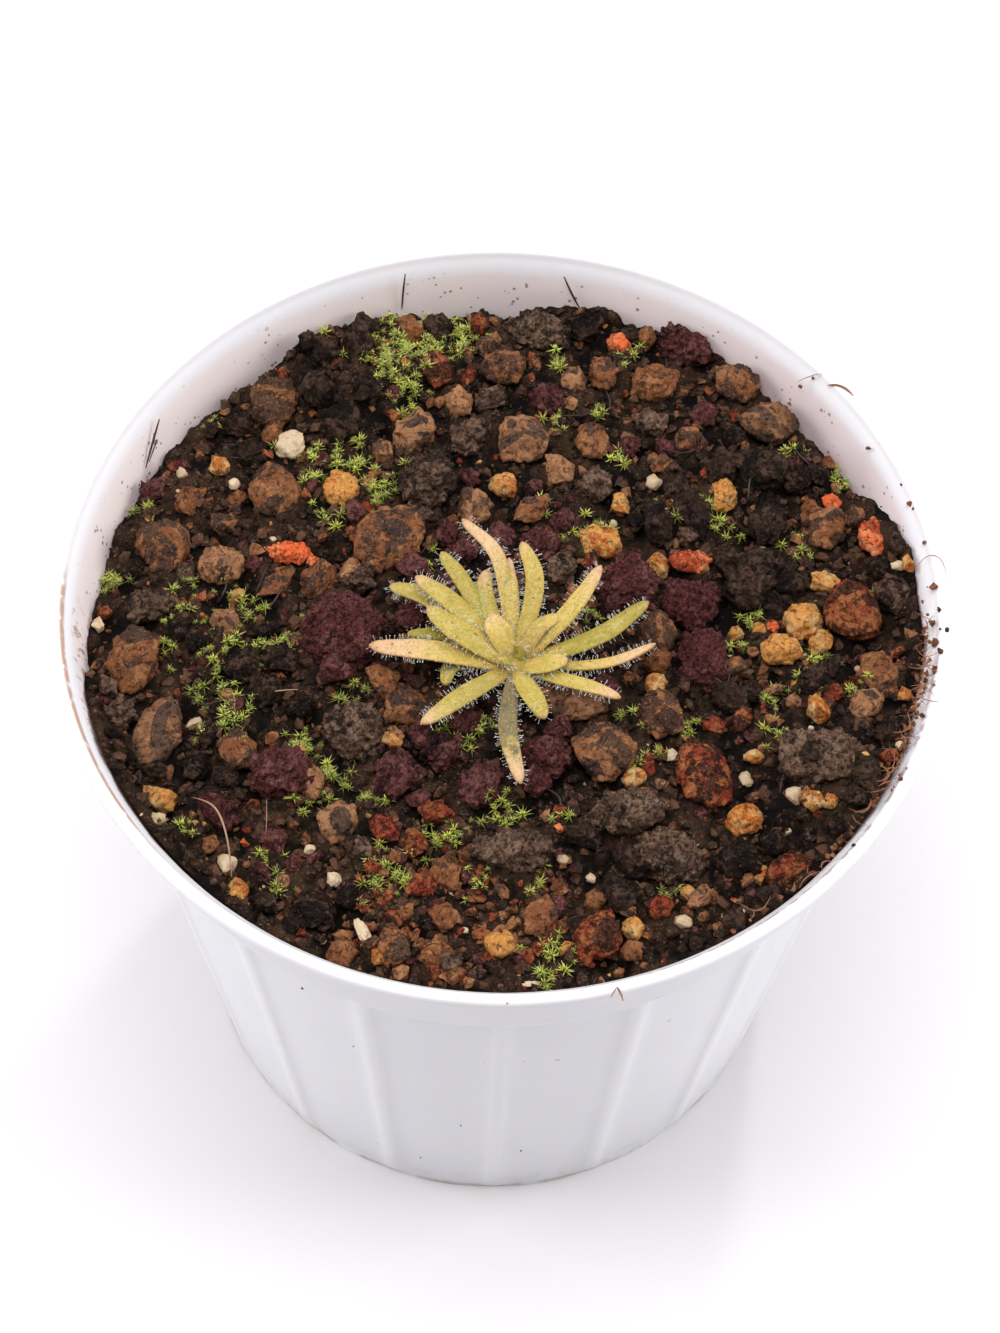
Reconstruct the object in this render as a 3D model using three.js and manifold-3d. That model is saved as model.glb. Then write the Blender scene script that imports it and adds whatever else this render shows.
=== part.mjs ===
// A small butterwort: a rosette of narrow sticky leaves in a round white plastic pot,
// growing in dark gritty soil that is dressed with pieces of clay gravel and lava.
// Millimetres, +Z up. The origin is on the ground under the middle of the pot, and the front is -Y.
import * as THREE from 'three';
import { mergeVertices } from 'three/addons/utils/BufferGeometryUtils.js';
import Module from 'manifold-3d';

const wasm = await Module();
wasm.setup();

// Driving dimensions of the pot
const POT_HEIGHT = 76;
const LIP_RADIUS = 45;
const LIP_WIDTH = 1.25;
const LIP_HEIGHT = 1.6;
const WALL = 1.1;
const COLLAR_DROP = 14.2;        // from the lip's top down to the collar's lower edge
const COLLAR_TOP_RADIUS = 43.8;
const COLLAR_FOOT_RADIUS = 41;
const RIB_COUNT = 18;
const RIB_WIDTH = 1.9;
const RIB_HEIGHT = 0.45;
const RIB_TOP_RADIUS = 40.5;     // face of a rib under the collar
const RIB_FOOT_RADIUS = 34;      // face of a rib at the ground
const FOOT_WIDTH = 3.2;
const FOOT_RECESS = 1.5;
const FLOOR = 1.3;
const DRAIN_COUNT = 6;
const DRAIN_RADIUS = 3;
const DRAIN_CIRCLE = 20;
const POT_FACETS = 48;

// Driving dimensions of what the pot holds
const GAP = 0.3;                 // room left between pieces that touch
const SOIL_LEVEL = 70;
const HIGHEST_SOIL = POT_HEIGHT - 0.9;
const SOIL_FACETS = 40;
const SOIL_RINGS = 10;
const CALM_REACH = 9;            // the soil's waves die out this near the crown
const CRUMB_COUNT = 64;
const CRUMB_REACH = 38.5;        // crumbs lie within this circle
const CRUMB_CLEAR = 4;           // and this far from the crown
const SEEDS = { strewn: 7, stone: 100, stoneStep: 17, grit: 600 };
const STONE_SINK = 0.36;         // share of a stone's height that lies in the soil
const WORN_AWAY = 0.12;          // share of a stone's size that its worn flats take off
const LUMP_COUNT = 4;
const LUMP_WAVES = 5;
const FLAT_COUNT = 6;
const STONE_FLATNESS = 0.8;      // height as a share of the smaller width
const LARGE_STONE = 30;          // footprint in square millimetres that gets the finer form
const SOCKET_GROWTH = 0.5;
const CROWN = { x: 1.4, y: -6.2, z: 71.7 };
const CROWN_RADIUS = 1.5;
const ROOT_RADIUS = 1.1;         // short root neck under the crown
const ROOT_LENGTH = 6;
const LEAF_THICKNESS = 0.85;
const LEAF_TIP_BLUNT = 0.6;      // share of the width left at the cut of the tip
const LEAF_SIDES = 6;
const LEAF_STEPS = 7;

const COLLAR_FOOT_Z = POT_HEIGHT - COLLAR_DROP;
const FLOOR_TOP = FOOT_RECESS + FLOOR;

// Finishes, as read from the photograph
const FINISH = {
  white_plastic: { color: 0xe4e4ea, roughness: 0.42 },
  soil: { color: 0x241b17, roughness: 0.75 },
  leaf: { color: 0xb9b04a, roughness: 0.45 },
  brown: { color: 0x6b4a30, roughness: 0.7 },
  tan: { color: 0x8b6a45, roughness: 0.7 },
  ochre: { color: 0xa9732f, roughness: 0.65 },
  orange: { color: 0xb9522a, roughness: 0.7 },
  russet: { color: 0x5a2b1d, roughness: 0.6 },
  lava: { color: 0x3d2026, roughness: 0.85 },
  slate: { color: 0x3b3430, roughness: 0.75 },
};

// The gravel pieces that show as pieces of their own: colour, place, width, depth and turn in degrees
const STONES = [
  ['brown', -24, 27.5, 5, 7, 10],
  ['brown', 0.5, 32.5, 5.5, 5, 0],
  ['slate', 4.5, 37.5, 7, 4.5, -10],
  ['lava', 20.5, 35.5, 6.5, 5, -20],
  ['russet', -6.5, 31.5, 4, 5, 20],
  ['brown', 11.5, 31.5, 3.5, 5, 5],
  ['brown', 17, 30, 6, 5, 15],
  ['brown', 26, 30, 6, 5, -30],
  ['tan', 29, 25, 6.5, 5, -15],
  ['tan', 2.5, 23, 5.5, 5.5, 20],
  ['brown', 10, 22.5, 4, 5, 0],
  ['slate', -3, 23, 4.5, 5.5, -20],
  ['slate', -7.5, 17, 6, 6, 0],
  ['ochre', -16.5, 16, 4, 5, -10],
  ['brown', -23.5, 16.5, 5.5, 6, 15],
  ['brown', -11.5, 10, 7, 6.5, 30],
  ['tan', -2.5, 14, 4, 5, 0],
  ['lava', 5.5, 28, 4.5, 4, 30],
  ['ochre', 10.5, 9.5, 4.5, 5, -15],
  ['lava', 13.5, 4, 6, 6.5, 20],
  ['orange', 19.5, 7.5, 5, 3, -10],
  ['lava', 19.5, 2, 5.5, 6, 30],
  ['lava', 20.5, -4.5, 5, 7.5, 0],
  ['lava', 4, 9.5, 5, 4, 0],
  ['brown', 34, 11.5, 5, 6, -20],
  ['orange', 39, 10.5, 4, 5.5, 20],
  ['ochre', 31, 0, 4.5, 5, 0],
  ['russet', 36, 0.5, 6, 6.5, 35],
  ['brown', 38, -7, 4.5, 6, 10],
  ['brown', -34.5, 9.5, 5.5, 6, -20],
  ['tan', -28.5, 6.5, 5.5, 5, 15],
  ['orange', -21.5, 8.5, 5.5, 3, -5],
  ['lava', -16, -1.5, 8, 9, 15],
  ['slate', -35.5, 2, 5.5, 4.5, 0],
  ['brown', -37, -5, 5, 7, -10],
  ['slate', -38, -11, 4, 5, 0],
  ['tan', -34, -13.5, 4.5, 8.5, -15],
  ['brown', -26, -15, 4.5, 5, 20],
  ['lava', -21.5, -18, 6.5, 5.5, -15],
  ['slate', -14.5, -13, 6, 5.5, 25],
  ['brown', -9.5, -10, 5, 4.5, -20],
  ['lava', -10.5, -18, 5, 6, -30],
  ['lava', -6, -15, 4.5, 4.5, 20],
  ['lava', -2, -19, 5.5, 5, 20],
  ['lava', 4.5, -16, 5, 5, -10],
  ['tan', 7, -9.5, 8, 4, -12],
  ['brown', 10, -15.5, 6, 6.5, 35],
  ['brown', 16, -10.5, 5, 6, 15],
  ['brown', 16, -1.5, 4.5, 5.5, 0],
  ['russet', 20, -18, 5.5, 8, 10],
  ['ochre', 23.5, -23, 5, 3.5, 15],
  ['slate', 16, -27, 6.5, 5.5, -30],
  ['russet', 27.5, -28.5, 6, 4, 25],
  ['slate', 31.5, -17.5, 9, 6, -8],
  ['slate', 12.5, -23, 8, 4.5, 12],
  ['slate', 1, -27, 8, 4.5, -5],
  ['russet', 9, -35.5, 5.5, 5, 10],
];

// Small pebbles that are grown into the soil's surface: place and size across
const PEBBLES = [
  [-4, 27.5, 3.2],
  [12.5, 35.5, 2.8],
  [3, 13.5, 3.2],
  [-28, 0, 3.6],
  [-18.5, 5, 3.8],
  [-9.5, 23.5, 4],
  [6.5, 18.5, 3.6],
  [-33.5, -20.5, 2.6],
  [-27, -22.5, 3.8],
  [-18, -18.5, 2.6],
  [-15.5, -23.5, 3.8],
  [-11.5, -6.5, 3.4],
  [-6.5, -22.5, 2.8],
  [3.5, -33.5, 4],
  [28, -3.5, 3],
  [32, -11, 3.2],
  [36, -11.5, 3],
];

// Each leaf: compass direction in degrees, reach and rise from the crown, for its middle and its tip
const LEAVES = [
  { mid: [177, 8.5, 2.3], tip: [175, 14.6, 2.0], width: 2.8 },
  { mid: [140, 8.6, 3.8], tip: [142, 12.7, 4.4], width: 2.4 },
  { mid: [143, 11.4, 2.4], tip: [147, 15.0, 2.2], width: 2.3 },
  { mid: [160, 5.7, 3.3], tip: [152, 10.0, 3.6], width: 2.6 },
  { mid: [158, 8.1, 1.3], tip: [164, 11.2, 1.1], width: 1.5 },
  { mid: [125, 9.7, 4.2], tip: [125, 12.8, 5.0], width: 1.9 },
  { mid: [101, 10.0, 4.9], tip: [110, 15.3, 5.3], width: 2.3 },
  { mid: [72, 7.3, 5.4], tip: [84, 10.9, 6.2], width: 2.3 },
  { mid: [93, 6.7, 3.7], tip: [93, 10.3, 4.2], width: 1.7 },
  { mid: [116, 6.8, 3.1], tip: [106, 9.6, 3.7], width: 2.4 },
  { mid: [36, 6.9, 4.2], tip: [46, 12.4, 5.0], width: 2.1 },
  { mid: [12, 9.2, 3.4], tip: [22, 14.4, 3.8], width: 2.2 },
  { mid: [-5, 9.4, 2.1], tip: [6, 14.1, 2.2], width: 1.4 },
  { mid: [-27, 7.3, 2.1], tip: [-24, 11.4, 1.8], width: 1.9 },
  { mid: [-71, 4.9, 2.1], tip: [-67, 7.6, 1.7], width: 2.4 },
  { mid: [-139, 7.1, 1.8], tip: [-142, 11.9, 1.3], width: 2.3 },
  { mid: [-95, 9.1, 2.0], tip: [-88, 14.3, 1.7], width: 2.3 },
  { mid: [-177, 6.3, 0.8], tip: [-160, 7.3, 0.4], width: 2.1 },
  { mid: [122, 3.0, 2.6], tip: [122, 4.9, 3.1], width: 3.0 },
  { mid: [-20, 3.3, 2.3], tip: [-6, 5.2, 2.6], width: 2.3 },
  { mid: [60, 0.7, 2.0], tip: [71, 1.1, 2.9], width: 1.3 },
  { mid: [200, 1.0, 1.8], tip: [205, 1.9, 2.4], width: 1.4 },
];

// Low heaps in the soil: place, spread and rise
const HEAPS = [
  { x: 36, y: -19, spread: 10, rise: 4.3 },
  { x: -15, y: 30.5, spread: 5.5, rise: 2.6 },
  { x: 27, y: 17, spread: 4.5, rise: 1.6 },
  { x: 2, y: -28, spread: 4, rise: 1.4 },
  { x: 12.5, y: -22.5, spread: 3.5, rise: 1.6 },
  { x: -11, y: -26, spread: 4, rise: 1.3 },
];

// Soft waves in the soil: height, and length along X and Y
const WAVES = [
  { height: 0.28, alongX: 11.5, alongY: 17 },
  { height: 0.24, alongX: -19, alongY: 10.5 },
  { height: 0.2, alongX: 7, alongY: -9 },
];

// Seeded random numbers from 0 to 1, the same on every run
function randomFrom(seed) {
  let state = seed;
  return () => {
    state = (state + 0x6d2b79f5) | 0;
    let t = Math.imul(state ^ (state >>> 15), 1 | state);
    t = (t + Math.imul(t ^ (t >>> 7), 61 | t)) ^ t;
    return ((t ^ (t >>> 14)) >>> 0) / 4294967296;
  };
}

// A closed geometry as a solid that can be joined and cut
function toSolid(geometry) {
  const bare = geometry.clone();
  bare.deleteAttribute('normal');
  bare.deleteAttribute('uv');
  const merged = mergeVertices(bare, 1e-4);
  const corners = [];
  for (let i = 0; i < merged.index.count; i += 3) {
    const [a, b, c] = [0, 1, 2].map((k) => merged.index.getX(i + k));
    if (a !== b && b !== c && c !== a) corners.push(a, b, c);
  }
  const mesh = new wasm.Mesh({
    numProp: 3,
    vertProperties: new Float32Array(merged.attributes.position.array),
    triVerts: new Uint32Array(corners),
  });
  return new wasm.Manifold(mesh);
}

function toGeometry(solid) {
  const mesh = solid.getMesh();
  const geometry = new THREE.BufferGeometry();
  geometry.setAttribute('position', new THREE.BufferAttribute(new Float32Array(mesh.vertProperties), 3));
  geometry.setIndex(new THREE.BufferAttribute(new Uint32Array(mesh.triVerts), 1));
  return geometry;
}

// The body with the most volume: loose scraps of a cut are dropped
function mainBody(solid) {
  const bodies = solid.decompose();
  return bodies.reduce((best, body) => (body.volume() > best.volume() ? body : best));
}

function makeMesh(name, geometry, finish) {
  const flat = geometry.index ? geometry.toNonIndexed() : geometry;
  flat.computeVertexNormals();
  const mesh = new THREE.Mesh(flat, new THREE.MeshStandardMaterial({ ...FINISH[finish], metalness: 0 }));
  mesh.name = name;
  return mesh;
}

// A profile of [radius, height] points turned about the Z axis
function turned(profile, facets) {
  const points = profile.map(([radius, height]) => new THREE.Vector2(radius, height));
  return new THREE.LatheGeometry(points, facets).rotateX(Math.PI / 2);
}

function between(low, high, share) {
  return low + (high - low) * share;
}

// Radius of the ribs' faces at a height
function ribRadius(z) {
  return between(RIB_FOOT_RADIUS, RIB_TOP_RADIUS, z / COLLAR_FOOT_Z);
}

// Radius of the inside of the pot at a height
function insideRadius(z) {
  if (z <= COLLAR_FOOT_Z - WALL) return ribRadius(z) - RIB_HEIGHT - WALL;
  const share = (z - COLLAR_FOOT_Z) / (COLLAR_DROP - LIP_HEIGHT);
  return between(COLLAR_FOOT_RADIUS, COLLAR_TOP_RADIUS, Math.max(share, 0)) - WALL;
}

function potShell() {
  const panel = (z) => ribRadius(z) - RIB_HEIGHT;
  const lipFoot = POT_HEIGHT - LIP_HEIGHT;
  const innerLip = LIP_RADIUS - LIP_WIDTH;
  const profile = [
    [0, FOOT_RECESS],
    [panel(0) - FOOT_WIDTH - 0.5, FOOT_RECESS],
    [panel(0) - FOOT_WIDTH, 0],
    [panel(0) - 0.5, 0],
    [panel(0), 0.6],
    [panel(COLLAR_FOOT_Z - 0.4), COLLAR_FOOT_Z - 0.4],
    [COLLAR_FOOT_RADIUS, COLLAR_FOOT_Z + 0.2],
    [COLLAR_TOP_RADIUS, lipFoot],
    [LIP_RADIUS - 0.1, lipFoot + 0.3],
    [LIP_RADIUS, lipFoot + 0.7],
    [LIP_RADIUS, POT_HEIGHT - 0.4],
    [LIP_RADIUS - 0.3, POT_HEIGHT],
    [innerLip + 0.3, POT_HEIGHT],
    [innerLip, POT_HEIGHT - 0.3],
    [insideRadius(lipFoot), lipFoot],
    [insideRadius(COLLAR_FOOT_Z), COLLAR_FOOT_Z],
    [insideRadius(COLLAR_FOOT_Z - WALL), COLLAR_FOOT_Z - WALL],
    [insideRadius(FLOOR_TOP + 0.8), FLOOR_TOP + 0.8],
    [insideRadius(FLOOR_TOP) - 0.8, FLOOR_TOP],
    [0, FLOOR_TOP],
  ];
  return toSolid(turned(profile, POT_FACETS));
}

// One rib: a slim bar whose foot stands on the ground and whose head sinks into the collar
function ribSolid(angle) {
  const bar = new THREE.BoxGeometry(1, 1, 1);
  const corner = bar.attributes.position;
  for (let i = 0; i < corner.count; i += 1) {
    const z = corner.getZ(i) > 0 ? COLLAR_FOOT_Z + 0.5 : 0;
    const radius = ribRadius(z) - (corner.getY(i) > 0 ? RIB_HEIGHT + 0.4 : 0);
    const side = Math.sign(corner.getX(i)) * RIB_WIDTH * 0.5;
    corner.setXYZ(i, side, -radius, z);
  }
  return toSolid(bar.rotateZ(angle));
}

function drainHole(x, y) {
  const bore = new THREE.CylinderGeometry(DRAIN_RADIUS, DRAIN_RADIUS, FLOOR_TOP * 2, 14);
  return toSolid(bore.rotateX(Math.PI / 2).translate(x, y, FLOOR_TOP));
}

function pot() {
  const parts = [potShell()];
  for (let i = 0; i < RIB_COUNT; i += 1) parts.push(ribSolid((i * 2 * Math.PI) / RIB_COUNT));
  const holes = [drainHole(0, 0)];
  for (let i = 0; i < DRAIN_COUNT; i += 1) {
    const angle = ((i + 0.5) * 2 * Math.PI) / DRAIN_COUNT;
    holes.push(drainHole(DRAIN_CIRCLE * Math.cos(angle), DRAIN_CIRCLE * Math.sin(angle)));
  }
  return wasm.Manifold.union(parts).subtract(wasm.Manifold.union(holes));
}

// Height of the soil's surface: a level with soft waves and heaps, calm round the crown
function soilTop(x, y) {
  const calm = Math.min(Math.hypot(x - CROWN.x, y - CROWN.y) / CALM_REACH, 1);
  const waves = WAVES.reduce((sum, wave) => {
    return sum + wave.height * Math.sin(2 * Math.PI * (x / wave.alongX + y / wave.alongY));
  }, 0);
  const heaped = HEAPS.reduce((sum, heap) => {
    const away = Math.hypot(x - heap.x, y - heap.y) / heap.spread;
    return sum + heap.rise * Math.exp(-away * away);
  }, 0);
  return SOIL_LEVEL + calm * waves + heaped;
}

// The soil: it fills the pot to its surface, whose edge follows the wall
function soilBody() {
  const bottom = FLOOR_TOP + GAP;
  const profile = [
    [0, bottom],
    [insideRadius(bottom) - 1 - GAP, bottom],
    [insideRadius(bottom + 1) - GAP, bottom + 1],
    [insideRadius(COLLAR_FOOT_Z - WALL) - GAP, COLLAR_FOOT_Z - WALL],
    [insideRadius(COLLAR_FOOT_Z) - GAP, COLLAR_FOOT_Z + GAP],
  ];
  const edge = insideRadius(SOIL_LEVEL) - GAP;
  for (let ring = SOIL_RINGS; ring > 0; ring -= 1) profile.push([(edge * ring) / SOIL_RINGS, SOIL_LEVEL]);
  profile.push([0, SOIL_LEVEL]);
  const body = turned(profile, SOIL_FACETS);
  const point = body.attributes.position;
  for (let i = 0; i < point.count; i += 1) {
    const onTop = Math.abs(point.getZ(i) - SOIL_LEVEL) < 0.01;
    if (!onTop) continue;
    const [x, y] = [point.getX(i), point.getY(i)];
    const angle = Math.atan2(y, x);
    const brink = soilTop(edge * Math.cos(angle), edge * Math.sin(angle));
    const stretch = (insideRadius(Math.min(brink, POT_HEIGHT - LIP_HEIGHT)) - GAP) / edge;
    point.setXYZ(i, x * stretch, y * stretch, Math.min(soilTop(x, y), HIGHEST_SOIL));
  }
  return toSolid(body);
}

// A stone's unit form: a ball with a lumpy surface and a few worn flats
function stoneForm(seed, detail) {
  const random = randomFrom(seed);
  const direction = () => new THREE.Vector3(random() - 0.5, random() - 0.5, random() - 0.5).normalize();
  const lump = () => ({ way: direction(), phase: 6 * random(), size: 0.05 + 0.05 * random() });
  const worn = () => ({ way: direction(), reach: 0.74 + 0.14 * random() });
  const lumps = Array.from({ length: LUMP_COUNT }, lump);
  const flats = Array.from({ length: FLAT_COUNT }, worn);
  const form = new THREE.IcosahedronGeometry(1, detail);
  const point = form.attributes.position;
  const at = new THREE.Vector3();
  for (let i = 0; i < point.count; i += 1) {
    at.fromBufferAttribute(point, i);
    const swell = ({ way, phase, size }) => size * Math.sin(LUMP_WAVES * at.dot(way) + phase);
    at.multiplyScalar(lumps.reduce((sum, each) => sum + swell(each), 1));
    for (const flat of flats) {
      const over = at.dot(flat.way) - flat.reach;
      if (over > 0) at.addScaledVector(flat.way, -over);
    }
    point.setXYZ(i, at.x, at.y, at.z);
  }
  return form;
}

// A stone at its size and place, grown on every side by the given room
function stoneSolid(stone, growth) {
  const form = stoneForm(stone.seed, stone.detail);
  const point = form.attributes.position;
  const at = new THREE.Vector3();
  for (let i = 0; i < point.count; i += 1) {
    at.fromBufferAttribute(point, i).multiply(stone.half);
    at.setLength(at.length() + growth);
    point.setXYZ(i, at.x, at.y, at.z);
  }
  return toSolid(form.rotateZ(stone.turn).translate(stone.x, stone.y, stone.z));
}

// The stones' sizes and seats, worked out from the list
function seatedStones() {
  return STONES.map(([colour, x, y, width, depth, turn], i) => {
    const height = STONE_FLATNESS * Math.min(width, depth);
    const seed = SEEDS.stone + i * SEEDS.stoneStep;
    const grown = 0.5 * (1 + WORN_AWAY);
    return {
      name: `${colour}_stone_${String(i + 1).padStart(2, '0')}`,
      finish: colour,
      seed,
      detail: width * depth > LARGE_STONE ? 1 : 0,
      x,
      y,
      z: soilTop(x, y) + height * (0.5 - STONE_SINK),
      turn: THREE.MathUtils.degToRad(turn),
      half: new THREE.Vector3(width * grown, depth * grown, height * grown),
    };
  });
}

// A small lump of grit, sunk more than half into the soil
function gritSolid(seed, x, y, radius) {
  const lump = stoneForm(seed, 0).scale(radius * 1.1, radius * 0.95, radius * 0.8);
  return toSolid(lump.rotateZ(seed).translate(x, y, soilTop(x, y) + radius * 0.1));
}

// The pebbles of the list, and crumbs strewn by seeded draws, kept off the crown and the wall
function grit() {
  const random = randomFrom(SEEDS.strewn);
  const list = PEBBLES.map(([x, y, across], i) => gritSolid(SEEDS.grit + i, x, y, across / 2));
  while (list.length < PEBBLES.length + CRUMB_COUNT) {
    const radius = CRUMB_REACH * Math.sqrt(random());
    const angle = 2 * Math.PI * random();
    const size = 0.8 + 0.7 * random();
    const [x, y] = [radius * Math.cos(angle), radius * Math.sin(angle)];
    const onCrown = Math.hypot(x - CROWN.x, y - CROWN.y) < CRUMB_CLEAR;
    if (!onCrown) list.push(gritSolid(SEEDS.grit + list.length, x, y, size));
  }
  return list;
}

function crownHole() {
  const radius = ROOT_RADIUS + GAP;
  const depth = ROOT_LENGTH + 1;
  const bore = new THREE.CylinderGeometry(radius, radius, depth * 2, 12).rotateX(Math.PI / 2);
  return toSolid(bore.translate(CROWN.x, CROWN.y, SOIL_LEVEL));
}

function soilMix(stones) {
  const heaped = wasm.Manifold.union([soilBody(), ...grit()]);
  const sockets = stones.map((stone) => stoneSolid(stone, SOCKET_GROWTH));
  return mainBody(heaped.subtract(wasm.Manifold.union([crownHole(), ...sockets])));
}

// Each stone is trimmed where it would reach into the pot's wall or into a stone seated before it
function trimmedStones(stones) {
  const room = turned([
    [0, COLLAR_FOOT_Z],
    [insideRadius(COLLAR_FOOT_Z) - GAP, COLLAR_FOOT_Z],
    [insideRadius(POT_HEIGHT - LIP_HEIGHT) - GAP, POT_HEIGHT - LIP_HEIGHT],
    [0, POT_HEIGHT - LIP_HEIGHT],
  ], POT_FACETS);
  const inside = toSolid(room);
  const seated = [];
  return stones.map((stone) => {
    const near = seated.filter((other) => {
      const reach = stone.half.length() + other.half.length();
      return Math.hypot(stone.x - other.x, stone.y - other.y) < reach;
    });
    seated.push(stone);
    let solid = stoneSolid(stone, 0).intersect(inside);
    for (const other of near) solid = solid.subtract(stoneSolid(other, SOCKET_GROWTH));
    return { ...stone, solid: mainBody(solid) };
  });
}

// A point on the plant: compass direction, reach and rise from the crown
function fromCrown([degrees, reach, rise]) {
  const angle = THREE.MathUtils.degToRad(degrees);
  return new THREE.Vector3(
    CROWN.x + reach * Math.cos(angle),
    CROWN.y + reach * Math.sin(angle),
    CROWN.z + rise,
  );
}

// Share of a leaf's full width along its length: a little narrower at the root, and tapered to the tip
function leafTaper(share) {
  return 0.78 + 0.22 * Math.sin(Math.PI * Math.min(share * 1.6, 1)) - 0.26 * share ** 3;
}

// A fleshy strap leaf: a flattened tube that widens from the root and narrows to a blunt tip
function leafSolid({ mid, tip, width }) {
  const root = fromCrown([mid[0], Math.min(0.5, mid[1] * 0.3), 0.2]);
  const spine = new THREE.CatmullRomCurve3([root, fromCrown(mid), fromCrown(tip)]);
  const leaf = new THREE.CylinderGeometry(1, 1, 1, LEAF_SIDES, LEAF_STEPS, false, Math.PI / 2);
  const point = leaf.attributes.position;
  for (let i = 0; i < point.count; i += 1) {
    const share = point.getY(i) + 0.5;
    const centre = spine.getPoint(share);
    const ahead = spine.getTangent(share);
    const side = new THREE.Vector3(ahead.y, -ahead.x, 0).normalize();
    const up = new THREE.Vector3().crossVectors(side, ahead);
    const tipward = share > 0.99 ? LEAF_TIP_BLUNT : 1;
    const across = point.getX(i) * 0.5 * width * leafTaper(share) * tipward;
    const through = point.getZ(i) * 0.5 * LEAF_THICKNESS * between(1, 0.85, share);
    centre.addScaledVector(side, across).addScaledVector(up, through);
    point.setXYZ(i, centre.x, centre.y, centre.z);
  }
  return toSolid(leaf);
}

function rosette() {
  const crown = new THREE.SphereGeometry(CROWN_RADIUS, 12, 7).scale(1, 1, 0.75);
  crown.translate(CROWN.x, CROWN.y, CROWN.z + 0.2);
  const root = new THREE.CylinderGeometry(ROOT_RADIUS, ROOT_RADIUS * 0.6, ROOT_LENGTH, 10);
  root.rotateX(Math.PI / 2).translate(CROWN.x, CROWN.y, CROWN.z - ROOT_LENGTH * 0.5);
  const parts = [toSolid(crown), toSolid(root), ...LEAVES.map(leafSolid)];
  return mainBody(wasm.Manifold.union(parts));
}

const stones = seatedStones();
const plantInPot = new THREE.Group();
plantInPot.add(makeMesh('pot', toGeometry(pot()), 'white_plastic'));
plantInPot.add(makeMesh('soil_mix', toGeometry(soilMix(stones)), 'soil'));
plantInPot.add(makeMesh('rosette', toGeometry(rosette()), 'leaf'));
for (const stone of trimmedStones(stones)) {
  plantInPot.add(makeMesh(stone.name, toGeometry(stone.solid), stone.finish));
}

export default plantInPot;
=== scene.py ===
"""Looks of a butterwort in a ribbed white pot of wet gritty soil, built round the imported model.

Metres, +Z up, the front towards -Y. Numbers named in millimetres are turned into metres as they are used.
"""

import math
import random

import bpy
import numpy as np
from mathutils import Matrix, Vector


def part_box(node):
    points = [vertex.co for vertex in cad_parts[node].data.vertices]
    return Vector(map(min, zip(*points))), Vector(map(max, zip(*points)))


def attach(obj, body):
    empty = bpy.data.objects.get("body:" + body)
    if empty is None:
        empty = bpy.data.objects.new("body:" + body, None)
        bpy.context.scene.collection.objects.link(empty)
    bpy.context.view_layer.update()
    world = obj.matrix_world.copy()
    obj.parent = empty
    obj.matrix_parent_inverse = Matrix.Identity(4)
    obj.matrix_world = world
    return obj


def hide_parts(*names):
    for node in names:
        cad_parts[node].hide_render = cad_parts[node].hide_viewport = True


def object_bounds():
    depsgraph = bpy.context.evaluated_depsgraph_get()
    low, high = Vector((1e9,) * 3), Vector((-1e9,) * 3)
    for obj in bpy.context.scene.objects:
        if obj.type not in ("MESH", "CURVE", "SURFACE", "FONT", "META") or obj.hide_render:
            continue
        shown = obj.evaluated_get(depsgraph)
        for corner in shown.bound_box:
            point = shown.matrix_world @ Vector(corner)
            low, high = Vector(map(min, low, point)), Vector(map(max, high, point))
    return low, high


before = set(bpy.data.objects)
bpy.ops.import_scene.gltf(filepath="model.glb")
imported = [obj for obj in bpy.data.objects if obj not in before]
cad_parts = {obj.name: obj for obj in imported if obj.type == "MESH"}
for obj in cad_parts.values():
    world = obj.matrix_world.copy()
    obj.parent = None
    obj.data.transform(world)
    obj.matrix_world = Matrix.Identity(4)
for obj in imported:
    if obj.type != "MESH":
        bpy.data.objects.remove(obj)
cad_low, cad_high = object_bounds()

MM = 0.001

# The pot, in millimetres
POT_HEIGHT = 76.0
COLLAR_FOOT = 61.8
COLLAR_DROP = 14.2
LIP_HEIGHT = 1.6
WALL = 1.1
RIBS = 18
RIB_HALF_ANGLE = 1.35
WALL_FOOT_RADIUS = 34.0
WALL_TOP_RADIUS = 40.5
COLLAR_RADIUS = 41.0
LIP_RADIUS = 43.8
# How far the inner wall leans outwards for each millimetre of height above the ribs
INNER_LEAN = 0.222
PANEL_DEPTH = 0.45
DRAIN_RADIUS = 3.0
DRAIN_CIRCLE = 20.0
FLOOR_TOP = 2.8

# The soil's surface in millimetres, as the model has it, apart from the bank at the wall
SOIL_LEVEL = 70.0
CROWN = Vector((1.4, -6.2, 71.7))
CALM_REACH = 9.0
HIGHEST_SOIL = 75.1
# Waves as (height, length along x, length along y), and heaps as (x, y, spread, rise)
WAVES = [(0.28, 11.5, 17.0), (0.24, -19.0, 10.5), (0.2, 7.0, -9.0)]
HEAPS = [
    (36, -19, 10, 4.3), (-15, 30.5, 5.5, 2.6), (27, 17, 4.5, 1.6),
    (2, -28, 4, 1.4), (12.5, -22.5, 3.5, 1.6), (-11, -26, 4, 1.3),
]
# How far the soil is banked up against the wall, or has sunk there: direction in degrees, millimetres
WALL_LINE = [
    (-80, 0.6), (-62, 1.6), (-45, 2.2), (-28, 1.8), (-20, 1.4), (-10, 3.4), (0, 4.2), (8, 4.2), (14, 3.2),
    (20, 1.0), (26, -1.4), (36, -1.6), (46, -1.0), (54, 0.4), (60, 1.0), (72, 0.7), (84, 0.0), (92, -1.8),
    (98, -1.7), (105, -0.4), (116, 0.6), (122, 0.2), (128, -1.3), (142, -1.5), (155, -0.8), (170, -1.0),
    (180, -0.3), (186, 0.9), (192, 2.8), (198, 4.2), (225, 4.4), (240, 2.0), (250, 0.0),
]
BANK_START = 38.8
BANK_WIDTH = 3.0


# Materials


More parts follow.
